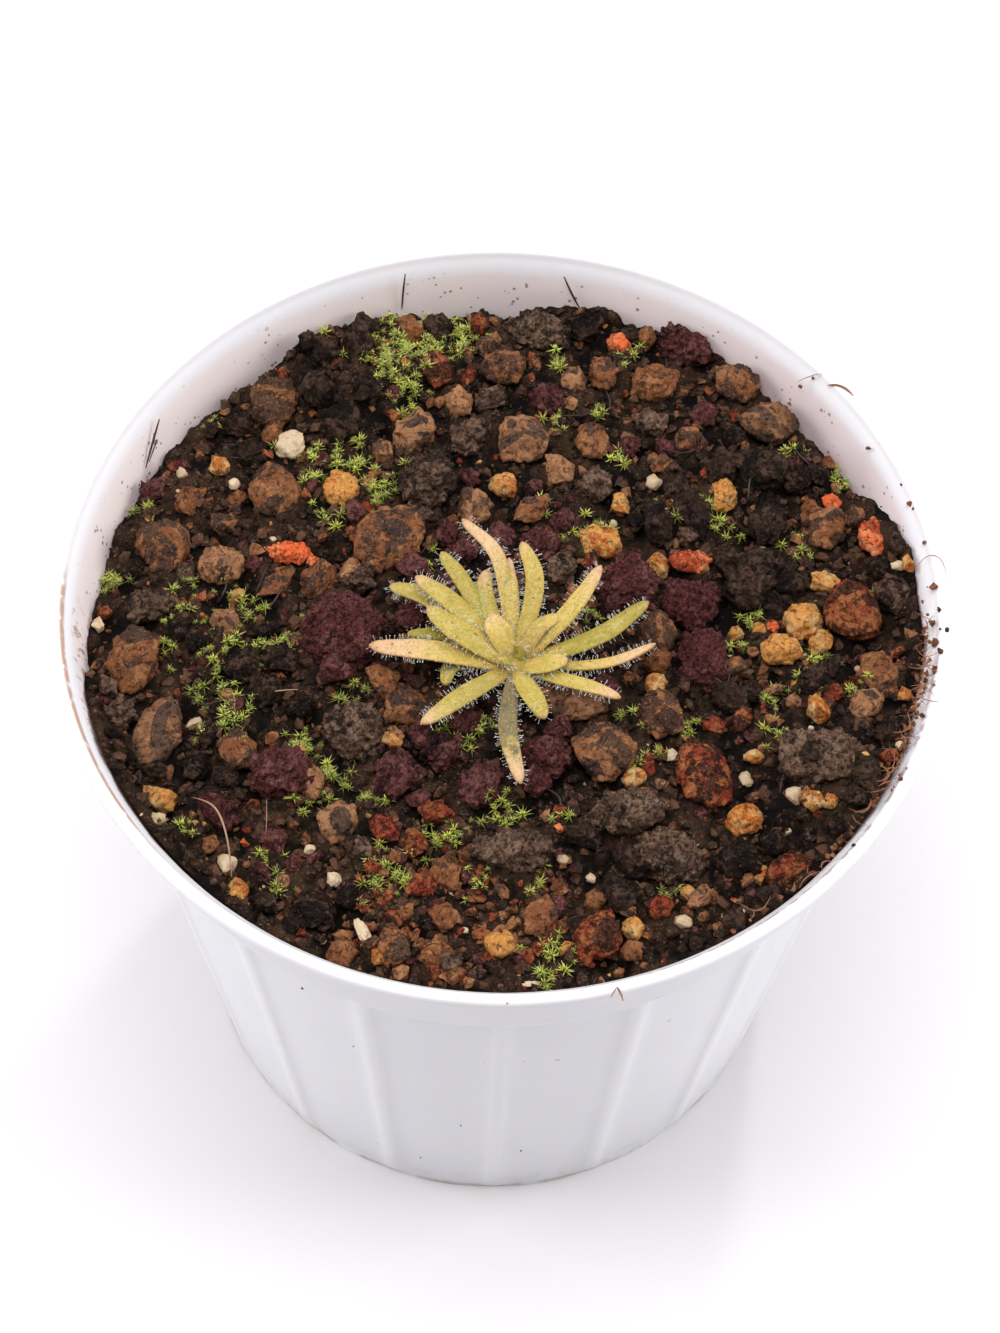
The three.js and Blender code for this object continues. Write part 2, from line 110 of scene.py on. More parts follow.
class Wire:
    """A value inside a material. Python sums and products of wires add their own Math nodes."""

    def __init__(self, finish, socket):
        self.finish = finish
        self.socket = socket

    def __add__(self, other):
        return self.finish.math("ADD", self, other)

    __radd__ = __add__

    def __sub__(self, other):
        return self.finish.math("SUBTRACT", self, other)

    def __rsub__(self, other):
        return self.finish.math("SUBTRACT", other, self)

    def __mul__(self, other):
        return self.finish.math("MULTIPLY", self, other)

    def __pow__(self, other):
        return self.finish.math("POWER", self, other)


class Finish:
    """One procedural material. Its places are in millimetres, in the part's own frame."""

    def __init__(self, name):
        self.material = bpy.data.materials.new(name)
        self.material.use_nodes = True
        self.nodes = self.material.node_tree.nodes
        self.links = self.material.node_tree.links
        self.shader = self.nodes["Principled BSDF"]
        here = self.node("TexCoord", out="Object")
        self.place = self.node("VectorMath", {"operation": "SCALE"}, {0: here, "Scale": 1000.0})
        self.relief = None

    def node(self, kind, settings=None, values=None, out=0):
        made = self.nodes.new("ShaderNode" + kind)
        for key, value in (settings or {}).items():
            setattr(made, key, value)
        for key, value in (values or {}).items():
            if isinstance(value, Wire):
                self.links.new(value.socket, made.inputs[key])
            else:
                made.inputs[key].default_value = value
        return Wire(self, made.outputs[out])

    def math(self, operation, a, b=0.0):
        return self.node("Math", {"operation": operation}, {0: a, 1: b})

    def noise(self, size, detail=3.0, roughness=0.55, distortion=0.0, place=None):
        """Cloudy noise from 0 to 1 with blotches about that many millimetres across."""
        values = {
            "Vector": place or self.place,
            "Scale": 1.0 / size,
            "Detail": detail,
            "Roughness": roughness,
            "Distortion": distortion,
        }
        return self.node("TexNoise", None, values)

    def cells(self, size, place=None):
        """Distance to the nearest of scattered points that stand about that many millimetres apart."""
        return self.node("TexVoronoi", None, {"Vector": place or self.place, "Scale": 1.0 / size})

    def warped(self, much):
        """The place, pushed about by noise, so that cells on it aren't round."""
        values = {"Vector": self.place, "Scale": 1.7, "Detail": 2.0}
        push = self.node("TexNoise", None, values, 1)
        scaled = self.node("VectorMath", {"operation": "SCALE"}, {0: push, "Scale": much})
        return self.node("VectorMath", {"operation": "ADD"}, {0: self.place, 1: scaled})

    def step(self, value, low, high):
        """0 below low, 1 above high and a soft slope between."""
        values = {"Value": value, "From Min": low, "From Max": high}
        return self.node("MapRange", {"interpolation_type": "SMOOTHSTEP"}, values)

    def mix(self, share, a, b):
        """Colour a where share is 0, colour b where it is 1."""
        values = {0: share, 6: self.colour(a), 7: self.colour(b)}
        return self.node("Mix", {"data_type": "RGBA"}, values, 2)

    def layers(self, colour, *tints):
        """The colour with tints laid over it in turn, each as (share, tint)."""
        for share, tint in tints:
            colour = self.mix(share, colour, tint)
        return colour

    def colour(self, value):
        return value if isinstance(value, Wire) else (*value, 1.0)

    def axes(self):
        split = self.nodes.new("ShaderNodeSeparateXYZ")
        self.links.new(self.place.socket, split.inputs[0])
        return [Wire(self, split.outputs[k]) for k in range(3)]

    def attribute(self, name):
        return self.node("Attribute", {"attribute_name": name}, None, 2)

    def bump(self, height, depth):
        """Adds relief: height from 0 to 1 stands for depth millimetres."""
        values = {"Height": height, "Distance": depth * MM}
        if self.relief is not None:
            values["Normal"] = self.relief
        self.relief = self.node("Bump", None, values)

    def done(self, colour, roughness, **constants):
        for key, value in {"Base Color": self.colour(colour), "Roughness": roughness}.items():
            if isinstance(value, Wire):
                self.links.new(value.socket, self.shader.inputs[key])
            else:
                self.shader.inputs[key].default_value = value
        if self.relief is not None:
            self.links.new(self.relief.socket, self.shader.inputs["Normal"])
        for key, value in constants.items():
            self.shader.inputs[key.replace("_", " ")].default_value = value
        return self.material


# Colours with deep pores
PITTED = ("lava", "slate", "peat", "russet")
# Gravel colours: body, second shade, dark mineral, how much dark mineral, pore size, relief, shine
GRAVEL = {
    "brown": ((0.23, 0.082, 0.032), (0.37, 0.160, 0.068), (0.046, 0.030, 0.025), 0.45, 0.7, 0.36, 0.48),
    "tan": ((0.40, 0.190, 0.088), (0.26, 0.115, 0.056), (0.056, 0.036, 0.030), 0.43, 0.7, 0.32, 0.50),
    "ochre": ((0.54, 0.235, 0.056), (0.53, 0.34, 0.145), (0.38, 0.095, 0.016), 0.46, 0.6, 0.22, 0.46),
    "orange": ((0.70, 0.125, 0.036), (0.74, 0.24, 0.10), (0.28, 0.036, 0.014), 0.42, 0.5, 0.24, 0.48),
    "russet": ((0.26, 0.042, 0.020), (0.37, 0.125, 0.045), (0.022, 0.009, 0.007), 0.44, 0.7, 0.34, 0.34),
    "lava": ((0.125, 0.034, 0.032), (0.245, 0.092, 0.082), (0.009, 0.004, 0.005), 0.40, 0.42, 0.55, 0.62),
    "slate": ((0.130, 0.070, 0.046), (0.235, 0.142, 0.094), (0.016, 0.010, 0.008), 0.42, 0.5, 0.42, 0.56),
    "peat": ((0.048, 0.026, 0.017), (0.112, 0.063, 0.042), (0.006, 0.0035, 0.0028), 0.48, 0.5, 0.60, 0.60),
}


def gravel_finish(name, seeded=False):
    """Wet fired clay: two shades in blotches, dark mineral patches, fine pores with painted shade in them,
    and wet shine in places.
    """
    body, second, dark, much, pore, relief, shine = GRAVEL[name]
    f = Finish(("grit_" if seeded else "gravel_") + name)
    own = f.attribute("shade")
    blotch = f.step(f.noise(2.0, 5.0, 0.62) + (own - 0.5) * 0.16, 0.42, 0.58)
    patch = f.step(f.noise(3.4, 5.0, 0.60, 0.9) + (own - 0.5) * 0.16, 0.97 - much, 1.00 - much)
    spot = f.step(f.attribute("spot") + (f.noise(0.9, 4.0, 0.65) - 0.5) * 0.7, 0.06, 0.14)
    grain = f.noise(0.26, 4.0, 0.75)
    open_pore = 0.50 if name in PITTED else 0.54
    # The pores: they dent the surface, and near-black painted shade is painted into them.
    pores_and_shade = f.step(1.0 - f.noise(pore, 4.0, 0.75, 0.6), open_pore, open_pore + 0.10)
    colour = f.layers(
        f.mix(blotch, body, second),
        (f.step(f.noise(0.9, 3.0), 0.52, 0.66) * 0.35, tuple(c * 0.5 for c in body)),
        (patch * 0.85, dark),
        (spot * 0.9, dark),
        (f.step(own, 0.45, 1.0) * 0.35, tuple(c * 0.4 for c in body)),
        (pores_and_shade * 0.75, tuple(c * 0.3 for c in dark)),
        (f.step(grain, 0.55, 0.68) * 0.58, tuple(min(c * 1.7 + 0.01, 1.0) for c in second)),
        (f.step(1.0 - grain, 0.54, 0.68) * 0.6, dark),
    )
    f.bump(f.noise(0.8, 5.0, 0.7), relief * 1.2)
    f.bump(1.0 - pores_and_shade, relief * 0.8)
    f.bump(grain, relief * 0.6)
    wet = f.step(f.noise(1.5, 3.0, 0.6), 0.54, 0.66)
    rough = shine + 0.30 - wet * 0.45 + (grain - 0.5) * 0.3
    return f.done(colour, rough, Specular_IOR_Level=0.14)


def plastic_finish():
    """Smooth white plastic, faintly blue, dirty inside at the soil and on the lip. Painted light: lighter at
    the ribs and along the ledge, a pink inner tint that is partly painted shade and reflected light, and a
    painted shadow along the foot.
    """
    f = Finish("white_plastic")
    x, y, z = f.axes()
    out = (x * x + y * y) ** 0.5
    wall_line = LIP_RADIUS - (POT_HEIGHT - z) * INNER_LEAN - WALL / 2
    inside = f.step(wall_line - out, -0.15, 0.15) * f.step(z, 64.0, 66.0)
    rib_line = z * ((WALL_TOP_RADIUS - WALL_FOOT_RADIUS) / COLLAR_FOOT) + WALL_FOOT_RADIUS
    # Painted light: the ribs are painted lighter than the panels, as if they caught more light.
    rib = f.step(out - rib_line, -0.26, -0.08) * f.step(61.7 - z, 0.0, 0.3)
    # Painted highlight: a bright line along the ledge under the collar.
    ledge_highlight = f.step(z, 61.0, 61.5) * f.step(62.5 - z, 0.0, 0.5) * f.step(out, 40.2, 40.5)
    left = f.step(0.0 - x, 34.0, 38.0) * f.step(2.0 - y, 0.0, 4.0) * f.step(y, -24.0, -16.0)
    streak_place = f.node("VectorMath", {"operation": "MULTIPLY"}, {0: f.place, 1: (1.0, 1.0, 0.30)})
    streaks = left * inside * f.step(f.noise(0.8, 4.0, 0.6, 0.3, streak_place), 0.53, 0.61)
    # Painted contact shadow: a dark, patchy line along the bottom edge of the wall.
    foot_line_shadow = f.step(1.0 - z, 0.0, 0.8) * f.step(f.noise(4.0, 3.0), 0.38, 0.60)
    edge = f.step(out, 43.4, 43.6) * f.step(44.0 - out, 0.0, 0.2) * f.step(z, 74.8, 75.3)
    blotch = f.noise(1.3, 3.0)
    lip_stain = edge * f.step(0.0 - x, 30.0, 37.0) * f.step(4.0 - y, 0.0, 4.0) * f.step(blotch, 0.32, 0.50)
    lip_dirt = edge * f.step(x, 0.0, 16.0) * f.step(0.0 - y, 2.0, 8.0) * f.step(blotch, 0.44, 0.58)
    chance = f.noise(7.0, 2.0)
    dots = f.step(0.07 + (chance - 0.60) * 0.7 - f.cells(2.4, place=f.warped(0.5)), 0.0, 0.04)
    fine = f.step(0.24 + (f.noise(2.6, 2.0) - 0.60) * 1.3 - f.cells(0.8), 0.0, 0.08) * inside
    # Browner towards the foot: partly a stain, partly painted shade near the floor.
    foot = f.step(5.0 - z, 0.0, 4.0) * f.step(f.noise(3.0, 3.0), 0.42, 0.62)
    # The inner wall's tint, pink and darker towards the right: partly soil stain, partly painted shade and
    # painted light reflected from the soil.
    inner_stain_and_shade = f.mix(f.step(x, 4.0, 34.0), (0.88, 0.79, 0.785), (0.765, 0.66, 0.68))
    colour = f.layers(
        f.mix(f.noise(14.0, 2.0), (0.80, 0.80, 0.84), (0.84, 0.84, 0.875)),
        (inside, inner_stain_and_shade),
        (rib * 0.55, (0.88, 0.88, 0.915)),
        (ledge_highlight * 0.9, (0.95, 0.95, 0.97)),
        (foot * 0.30, (0.60, 0.54, 0.48)),
        (foot_line_shadow * 0.6, (0.36, 0.28, 0.21)),
        (dots * (0.8 - inside * 0.3), (0.25, 0.15, 0.09)),
        (fine * 0.8, (0.20, 0.11, 0.055)),
        (lip_stain * 0.7, (0.45, 0.20, 0.07)),
        (lip_dirt * 0.6, (0.34, 0.17, 0.10)),
        (streaks * 0.7, (0.26, 0.125, 0.06)),
    )
    f.bump(f.noise(5.0, 3.0), 0.03)
    rough = 0.36 + (f.noise(2.0, 3.0) - 0.5) * 0.12
    return f.done(colour, rough, Specular_IOR_Level=0.5, Subsurface_Weight=0.12, Subsurface_Scale=0.002)


def soil_finish():
    """Wet dark peat: painted black shade in its hollows, brown on its crumbs, with fine pale grains and a wet
    glint.
    """
    f = Finish("wet_soil")
    lift = f.attribute("lift")
    blotch = f.step(f.noise(7.0, 4.0, 0.6), 0.38, 0.64)
    grain = f.noise(0.3, 4.0, 0.75)
    colour = f.layers(
        f.mix(blotch, (0.022, 0.012, 0.008), (0.064, 0.033, 0.019)),
        (f.step(grain, 0.54, 0.68) * 0.85, (0.23, 0.13, 0.078)),
        (f.step(f.noise(1.1, 3.0), 0.58, 0.70) * 0.5, (0.11, 0.040, 0.018)),
        (f.step(f.noise(5.2, 2.0, 0.5, 0.4), 0.60, 0.72) * 0.3, (0.055, 0.062, 0.012)),
        # Painted shade: near black where the broken surface lies low.
        (f.step(0.0 - lift, -0.52, 0.05), (0.004, 0.0025, 0.002)),
    )
    f.bump(f.noise(0.7, 5.0, 0.75), 0.5)
    f.bump(grain, 0.28)
    wet = f.step(f.noise(0.6, 3.0), 0.56, 0.66)
    return f.done(colour, 0.80 - wet * 0.50 + (grain - 0.5) * 0.2, Specular_IOR_Level=0.12)


def crumb_finish():
    """Small dark crumbs of peat and bark, each with its own shade."""
    f = Finish("peat_crumbs")
    own = f.attribute("shade")
    grain = f.noise(0.25, 4.0, 0.75)
    colour = f.mix(own * own, (0.010, 0.006, 0.004), (0.10, 0.047, 0.026))
    colour = f.mix(f.step(grain, 0.53, 0.68) * 0.72, colour, (0.23, 0.13, 0.080))
    f.bump(f.noise(0.5, 4.0, 0.7), 0.22)
    wet = f.step(f.noise(1.1, 2.0), 0.56, 0.64)
    return f.done(colour, 0.74 - wet * 0.46, Specular_IOR_Level=0.14)


def pale_finish():
    """Cream and white grit, matt, with brown dirt in its hollows."""
    f = Finish("pale_grit")
    own = f.attribute("shade")
    colour = f.mix(own, (0.60, 0.47, 0.32), (0.36, 0.24, 0.125))
    colour = f.mix(f.step(f.noise(0.6, 4.0, 0.65), 0.50, 0.66) * 0.7, colour, (0.40, 0.22, 0.11))
    f.bump(f.noise(0.4, 4.0, 0.7), 0.10)
    return f.done(colour, 0.55, Specular_IOR_Level=0.3)


def moss_finish():
    """Bright yellow-green moss, paler at the points and darker at the heart of each tuft."""
    f = Finish("moss")
    own = f.attribute("shade")
    point = f.attribute("point")
    colour = f.layers(
        f.mix(own, (0.12, 0.155, 0.014), (0.38, 0.42, 0.050)),
        (f.step(point, 0.5, 1.0) * 0.75, (0.58, 0.63, 0.20)),
        (f.step(0.0 - point, -0.42, -0.05), (0.035, 0.055, 0.006)),
    )
    return f.done(colour, 0.42, Subsurface_Weight=0.25, Subsurface_Scale=0.0006)


def leaf_finish():
    """Fleshy leaf skin: yellow-green with tan to peach tips, soft streaks, a painted sheen along the middle,
    pale grains that are also painted glints, and rust specks.
    """
    f = Finish("butterwort_leaf")
    along, across = f.attribute("along"), f.attribute("across")
    green, tanned, dull = f.attribute("green"), f.attribute("tanned"), f.attribute("dull")
    streak = f.noise(0.55, 3.0, 0.6) * 0.5 + f.noise(2.0, 2.0) * 0.5
    # Painted sheen: a lighter band along the middle of each leaf.
    middle = f.step(0.0 - across, -0.50, -0.05) * f.step(f.noise(1.4, 2.0), 0.40, 0.60)
    tip = f.step(along + (f.noise(1.3, 2.0) - 0.5) * 0.3, 1.10 - tanned, 1.52 - tanned)
    end = f.step(along + (f.noise(0.8, 2.0) - 0.5) * 0.2, 0.88, 1.02)
    rim = f.step(across, 0.80, 1.0) * tip
    root = f.step(0.0 - along, -0.24, -0.02)
    faded = dull * f.step(f.noise(0.9, 3.0, 0.6) + (0.62 - along) * 0.8, 0.35, 0.62)
    # Pale grains, raised a little, that also stand in for painted glints on the wet skin.
    grains = f.step(f.noise(0.22, 3.0, 0.7), 0.52, 0.66)
    speck = f.step(f.noise(0.8, 1.0), 0.72, 0.76)
    colour = f.layers(
        f.mix(green, (0.60, 0.425, 0.098), (0.305, 0.258, 0.028)),
        (f.step(streak, 0.46, 0.62) * 0.32, (0.62, 0.47, 0.16)),
        (f.step(1.0 - streak, 0.50, 0.66) * 0.35, (0.32, 0.235, 0.040)),
        (middle * 0.24, (0.72, 0.58, 0.27)),
        (tip * 0.95, (0.66, 0.43, 0.24)),
        (end * 0.6, (0.46, 0.24, 0.12)),
        (rim * 0.5, (0.46, 0.21, 0.07)),
        (root * 0.6, (0.36, 0.20, 0.04)),
        (faded, (0.20, 0.155, 0.075)),
        (faded * f.step(f.noise(0.7, 3.0), 0.50, 0.62) * 0.7, (0.10, 0.095, 0.050)),
        (grains * 0.28, (0.80, 0.66, 0.30)),
        (f.step(1.0 - f.noise(0.3, 3.0, 0.7), 0.54, 0.68) * 0.25, (0.28, 0.19, 0.03)),
        (speck * 0.75, (0.34, 0.10, 0.02)),
    )
    f.bump(f.noise(0.4, 3.0, 0.6), 0.10)
    f.bump(grains, 0.06)
    rough = 0.30 + (f.noise(0.6, 2.0) - 0.5) * 0.2
    return f.done(
        colour, rough, Subsurface_Weight=0.3, Subsurface_Scale=0.0007, Specular_IOR_Level=0.28
    )


def hair_finish():
    f = Finish("leaf_hairs")
    colour = f.mix(f.noise(3.0), (0.90, 0.88, 0.78), (0.97, 0.96, 0.91))
    return f.done(colour, 0.35, Alpha=0.65)


def drop_finish():
    f = Finish("sticky_drops")
    # Near white: a painted highlight standing for the glint on a clear drop.
    colour = f.mix(f.noise(3.0), (0.93, 0.93, 0.90), (0.99, 0.99, 0.99))
    return f.done(colour, 0.06, Alpha=0.8, Coat_Weight=1.0, Coat_Roughness=0.02)


def strand_finish(name, low, high):
    f = Finish(name)
    colour = f.mix(f.noise(1.2, 4.0, 0.6), low, high)
    f.bump(f.noise(0.3, 3.0), 0.04)
    return f.done(colour, 0.55)


def table_finish():
    """White table top."""
    f = Finish("table_top")
    return f.done(f.mix(f.noise(60.0, 2.0), (0.765, 0.745, 0.762), (0.785, 0.768, 0.782)), 0.6)


# Modelling helpers


def nothing_selected():
    """Leaves edit mode and selects nothing."""
    if bpy.context.object and bpy.context.object.mode != "OBJECT":
        bpy.ops.object.mode_set(mode="OBJECT")
    bpy.ops.object.select_all(action="DESELECT")


def only(piece):
    """Selects the piece alone."""
    nothing_selected()
    piece.select_set(True)
    bpy.context.view_layer.objects.active = piece
    return piece


def linked(name, data):
    """A new object with that data, in the scene."""
    piece = bpy.data.objects.new(name, data)
    bpy.context.scene.collection.objects.link(piece)
    return piece


def newest(name):
    """The shape that was just added, named and selected."""
    piece = bpy.context.object
    piece.name = name
    bpy.ops.object.transform_apply(location=True, rotation=True, scale=True)
    return only(piece)


def opened(piece):
    """Opens the piece in edit mode with all of it selected."""
    only(piece)
    bpy.ops.object.mode_set(mode="EDIT")
    bpy.ops.mesh.select_all(action="SELECT")


def pick(piece, kind, wanted):
    """Opens the piece in edit mode with those of its corners or faces selected that pass the test."""
    only(piece)
    mesh = piece.data
    for item in (*mesh.vertices, *mesh.edges, *mesh.polygons):
        item.select = False
    items = {"VERT": mesh.vertices, "FACE": mesh.polygons}[kind]
    for item in items:
        item.select = bool(wanted(item.co if kind == "VERT" else item.center))
    bpy.context.tool_settings.mesh_select_mode = (kind == "VERT", False, kind == "FACE")
    bpy.ops.object.mode_set(mode="EDIT")


def drawn_out(section):
    """Draws the selected rim out along a section of (radius, height) in millimetres."""
    for (r0, z0), (r1, z1) in zip(section, section[1:]):
        bpy.ops.mesh.extrude_edges_move(TRANSFORM_OT_translate={"value": (0, 0, (z1 - z0) * MM)})
        bpy.ops.transform.resize(value=(r1 / r0, r1 / r0, 1), center_override=(0, 0, z1 * MM))


def applied(piece, kind, **settings):
    """Adds one modifier to the piece and applies it."""
    only(piece)
    modifier = piece.modifiers.new(kind.lower(), kind)
    for key, value in settings.items():
        setattr(modifier, key, value)
    bpy.ops.object.modifier_apply(modifier=modifier.name)
    return piece


def texture(name, kind, **settings):
    made = bpy.data.textures.new(name, kind)
    for key, value in settings.items():
        setattr(made, key, value)
    return made


def roughened(piece, pattern, strength, direction="NORMAL", middle=0.5):
    """Moves the piece's corners in or out by the pattern at their places."""
    return applied(
        piece,
        "DISPLACE",
        texture=pattern,
        texture_coords="LOCAL",
        strength=strength,
        mid_level=middle,
        direction=direction,
    )


def finished(piece, material, rounded=True):
    """Gives the piece its material and its place on the object."""
    piece.data.materials.clear()
    piece.data.materials.append(material)
    if rounded:
        piece.data.polygons.foreach_set("use_smooth", [True] * len(piece.data.polygons))
    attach(piece, "root")
    return piece


def corners_of(piece):
    places = np.empty(len(piece.data.vertices) * 3)
    piece.data.vertices.foreach_get("co", places)
    return places.reshape(-1, 3)


def set_corners(piece, places):
    piece.data.vertices.foreach_set("co", np.ascontiguousarray(places, float).ravel())
    piece.data.update()


def shape_of(piece):
    """A modelled shape as corner places and triangles. The model itself is removed."""
    nothing_selected()
    piece.data.calc_loop_triangles()
    triangles = np.empty(len(piece.data.loop_triangles) * 3, int)
    piece.data.loop_triangles.foreach_get("vertices", triangles)
    shape = (corners_of(piece), triangles.reshape(-1, 3))
    bpy.data.objects.remove(piece)
    return shape


def in_order(shape):
    """The same shape with its corners and triangles in an order that is the same each run."""
    corners, triangles = shape
    order = np.lexsort(corners.T)
    triangles = np.argsort(order)[triangles]
    start = triangles.argmin(1)[:, None]
    triangles = np.take_along_axis(triangles, (start + np.arange(3)) % 3, 1)
    return corners[order], triangles[np.lexsort(triangles.T)]


def mark(piece, name, values):
    """Numbers on the corners of a piece, for its material to read."""
    layer = piece.data.attributes.new(name, "FLOAT", "POINT")
    layer.data.foreach_set("value", np.broadcast_to(values, len(piece.data.vertices)).astype(np.float32))


def copies(name, wanted):
    """One piece of many copies. Each copy is (shape, turn and size, place, {attribute: value or values})."""
    places, triangles, marks, count = [], [], {}, 0
    for (corners, faces), turn, place, attributes in wanted:
        places.append(corners @ np.asarray(turn).T + np.asarray(place))
        triangles.append(faces + count)
        count += len(corners)
        for key, value in attributes.items():
            marks.setdefault(key, []).append(np.broadcast_to(value, len(corners)))
    mesh = bpy.data.meshes.new(name)
    mesh.from_pydata(np.concatenate(places), [], np.concatenate(triangles))
    piece = linked(name, mesh)
    for key, values in marks.items():
        mark(piece, key, np.concatenate(values))
    return piece


def turned(rng, size, flat=1.0, lean=math.pi):
    """A random turn with sizes along its three axes."""
    spin = Matrix.Rotation(rng.uniform(0, 2 * math.pi), 3, "Z")
    tilt = rng.uniform(-lean, lean)
    tip = Matrix.Rotation(tilt, 3, Vector((rng.uniform(-1, 1), rng.uniform(-1, 1), 0.01)))
    sizes = Matrix.Diagonal((size * rng.uniform(0.85, 1.25), size * rng.uniform(0.75, 1.1), size * flat))
    return np.array(tip @ spin @ sizes)


# Places on the pot


def between(low, high, share):
    return low + (high - low) * share


def around(degrees, radius):
    """A place at a compass direction and a distance from the middle, seen from above."""
    angle = math.radians(degrees)
    return radius * math.cos(angle), radius * math.sin(angle)


def rib_radius(z):
    """The ribs' outer radius at a height."""
    return between(WALL_FOOT_RADIUS, WALL_TOP_RADIUS, z / COLLAR_FOOT)


def inside_radius(z):
    """The inner wall's radius at a height."""
    if z <= COLLAR_FOOT - WALL:
        return rib_radius(z) - PANEL_DEPTH - WALL
    share = max(z - COLLAR_FOOT, 0.0) / (COLLAR_DROP - LIP_HEIGHT)
    return between(COLLAR_RADIUS, LIP_RADIUS, share) - WALL


def soil_top(x, y):
    """Height of the soil's surface in millimetres at a place in millimetres."""
    calm = np.minimum(np.hypot(x - CROWN.x, y - CROWN.y) / CALM_REACH, 1.0)
    waves = sum(h * np.sin(2 * np.pi * (x / a + y / b)) for h, a, b in WAVES)
    heaped = sum(h * np.exp(-((x - hx) ** 2 + (y - hy) ** 2) / spread**2) for hx, hy, spread, h in HEAPS)
    angle = np.degrees(np.arctan2(y, x))
    near_wall = np.clip((np.hypot(x, y) - BANK_START) / BANK_WIDTH, 0, 1)
    banked = np.interp(angle, *zip(*WALL_LINE), period=360.0) * near_wall**2 * (3 - 2 * near_wall)
    return np.minimum(SOIL_LEVEL + calm * waves + heaped + banked, HIGHEST_SOIL)


GROUND = {}
GROUND_STEP = 0.4


def remember_ground(soil):
    """Keeps the broken surface's heights, so that crumbs, pebbles and moss sit on it."""
    for x, y, z in corners_of(soil) / MM:
        GROUND[round(x / GROUND_STEP), round(y / GROUND_STEP)] = float(z)


def ground(x, y):
    """The broken surface's height at a place."""
    return GROUND.get((round(x / GROUND_STEP), round(y / GROUND_STEP)), float(soil_top(x, y)) - 0.3)


# Pot


def pot_profile():
    """The pot's section as (radius, height), from under the floor round over the lip to the floor's top."""
    outside = [(rib_radius(z), z) for z in (0.55, 3.0, 20.0, 40.0, 57.5, 60.6)]
    inside = [(inside_radius(z), z) for z in (61.9, 60.4, 40.0, 20.0, 5.0)]
    return [
        (3.0, 1.5), (3.5, 1.5), (16.9, 1.5), (23.1, 1.5), (29.5, 1.5), (30.1, 1.2),
        (30.35, 0.15), (30.7, 0.0), (33.2, 0.0), (33.85, 0.08),
        *outside,
        (40.46, 61.35), (40.62, 61.75), (41.02, 61.95), (41.1, 62.5), (42.4, 68.5), (43.65, 73.9),
        (43.8, 74.35), (44.2, 74.45), (44.85, 74.6), (45.0, 75.0), (45.0, 75.55), (44.8, 75.97),
        (44.35, 76.0), (43.9, 75.97), (43.72, 75.6), (43.5, 75.0), (42.75, 74.2),
        (inside_radius(68.0), 68.0), *inside,
        (31.9, 3.2), *[(radius, FLOOR_TOP) for radius in (31.0, 23.1, 16.9, 3.5, 3.0)],
    ]


def column_angles():
    """Five columns of corners to a rib and its panel: the rib's two sides and three in the panel."""
    return [20.0 * k + a for k in range(RIBS) for a in (-RIB_HALF_ANGLE, RIB_HALF_ANGLE, 5.68, 10.0, 14.32)]


def angle_in_rib(place):
    return (math.degrees(math.atan2(place.y, place.x)) + 90.0 + 10.0) % 20.0 - 10.0


def model_pot():
    profile = pot_profile()
    nothing_selected()
    radius, height = profile[0]
    bpy.ops.mesh.primitive_circle_add(vertices=RIBS * 5, radius=radius * MM, location=(0, 0, height * MM))
    pot = newest("pot_moulding")
    for corner, degrees in zip(pot.data.vertices, column_angles()):
        corner.co.x, corner.co.y = around(degrees - 90.0, radius * MM)
    opened(pot)
    drawn_out(profile)
    bpy.ops.mesh.select_all(action="DESELECT")
    bpy.ops.mesh.select_mode(type="EDGE")
    bpy.ops.mesh.select_non_manifold()
    bpy.ops.mesh.bridge_edge_loops()
    bpy.ops.mesh.select_all(action="SELECT")
    bpy.ops.mesh.normals_make_consistent(inside=False)

    def on_panel(centre):
        z = centre.z / MM
        out = math.hypot(centre.x, centre.y) / MM
        return 0.05 < z < 61.3 and out > rib_radius(z) - 0.7 and abs(angle_in_rib(centre)) > 1.0

    def at_foot(corner):
        return corner.z < 1.5 * MM and corner.xy.length > 32 * MM and abs(angle_in_rib(corner)) > 1.6

    pick(pot, "FACE", on_panel)
    bpy.ops.mesh.inset(thickness=0.24 * MM, depth=-PANEL_DEPTH * MM)
    pick(pot, "VERT", at_foot)
    bpy.ops.transform.resize(value=(1.009, 1.009, 1), center_override=(0, 0, 0))
    nothing_selected()
    applied(pot, "SUBSURF", levels=1, render_levels=1)
    for k in range(6):
        x, y = around(60 * k + 30, DRAIN_CIRCLE)
        nothing_selected()
        bpy.ops.mesh.primitive_cylinder_add(
            vertices=32, radius=DRAIN_RADIUS * MM, depth=6 * MM, location=(x * MM, y * MM, 2 * MM)
        )
        cutter = newest("drain_cutter")
        applied(pot, "BOOLEAN", operation="DIFFERENCE", object=cutter, solver="MANIFOLD")
        bpy.data.objects.remove(cutter)
    only(pot)
    bpy.ops.object.shade_smooth_by_angle(angle=math.radians(40))
    return pot


# Gravel


def stone_ellipses():
    """Middle and half sizes, in millimetres, of each gravel node seen from above."""
    found = []
    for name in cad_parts:
        if "_stone_" in name:
            low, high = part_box(name)
            middle, half = (low + high) / 2 / MM, (high - low) / 2 / MM
            found.append((middle.x, middle.y, half.x, half.y, high.z / MM))
    return found


def clear_of_stones(x, y, ellipses, room=0.86):
    return all(((x - cx) / hx) ** 2 + ((y - cy) / hy) ** 2 > room**2 for cx, cy, hx, hy, _ in ellipses)


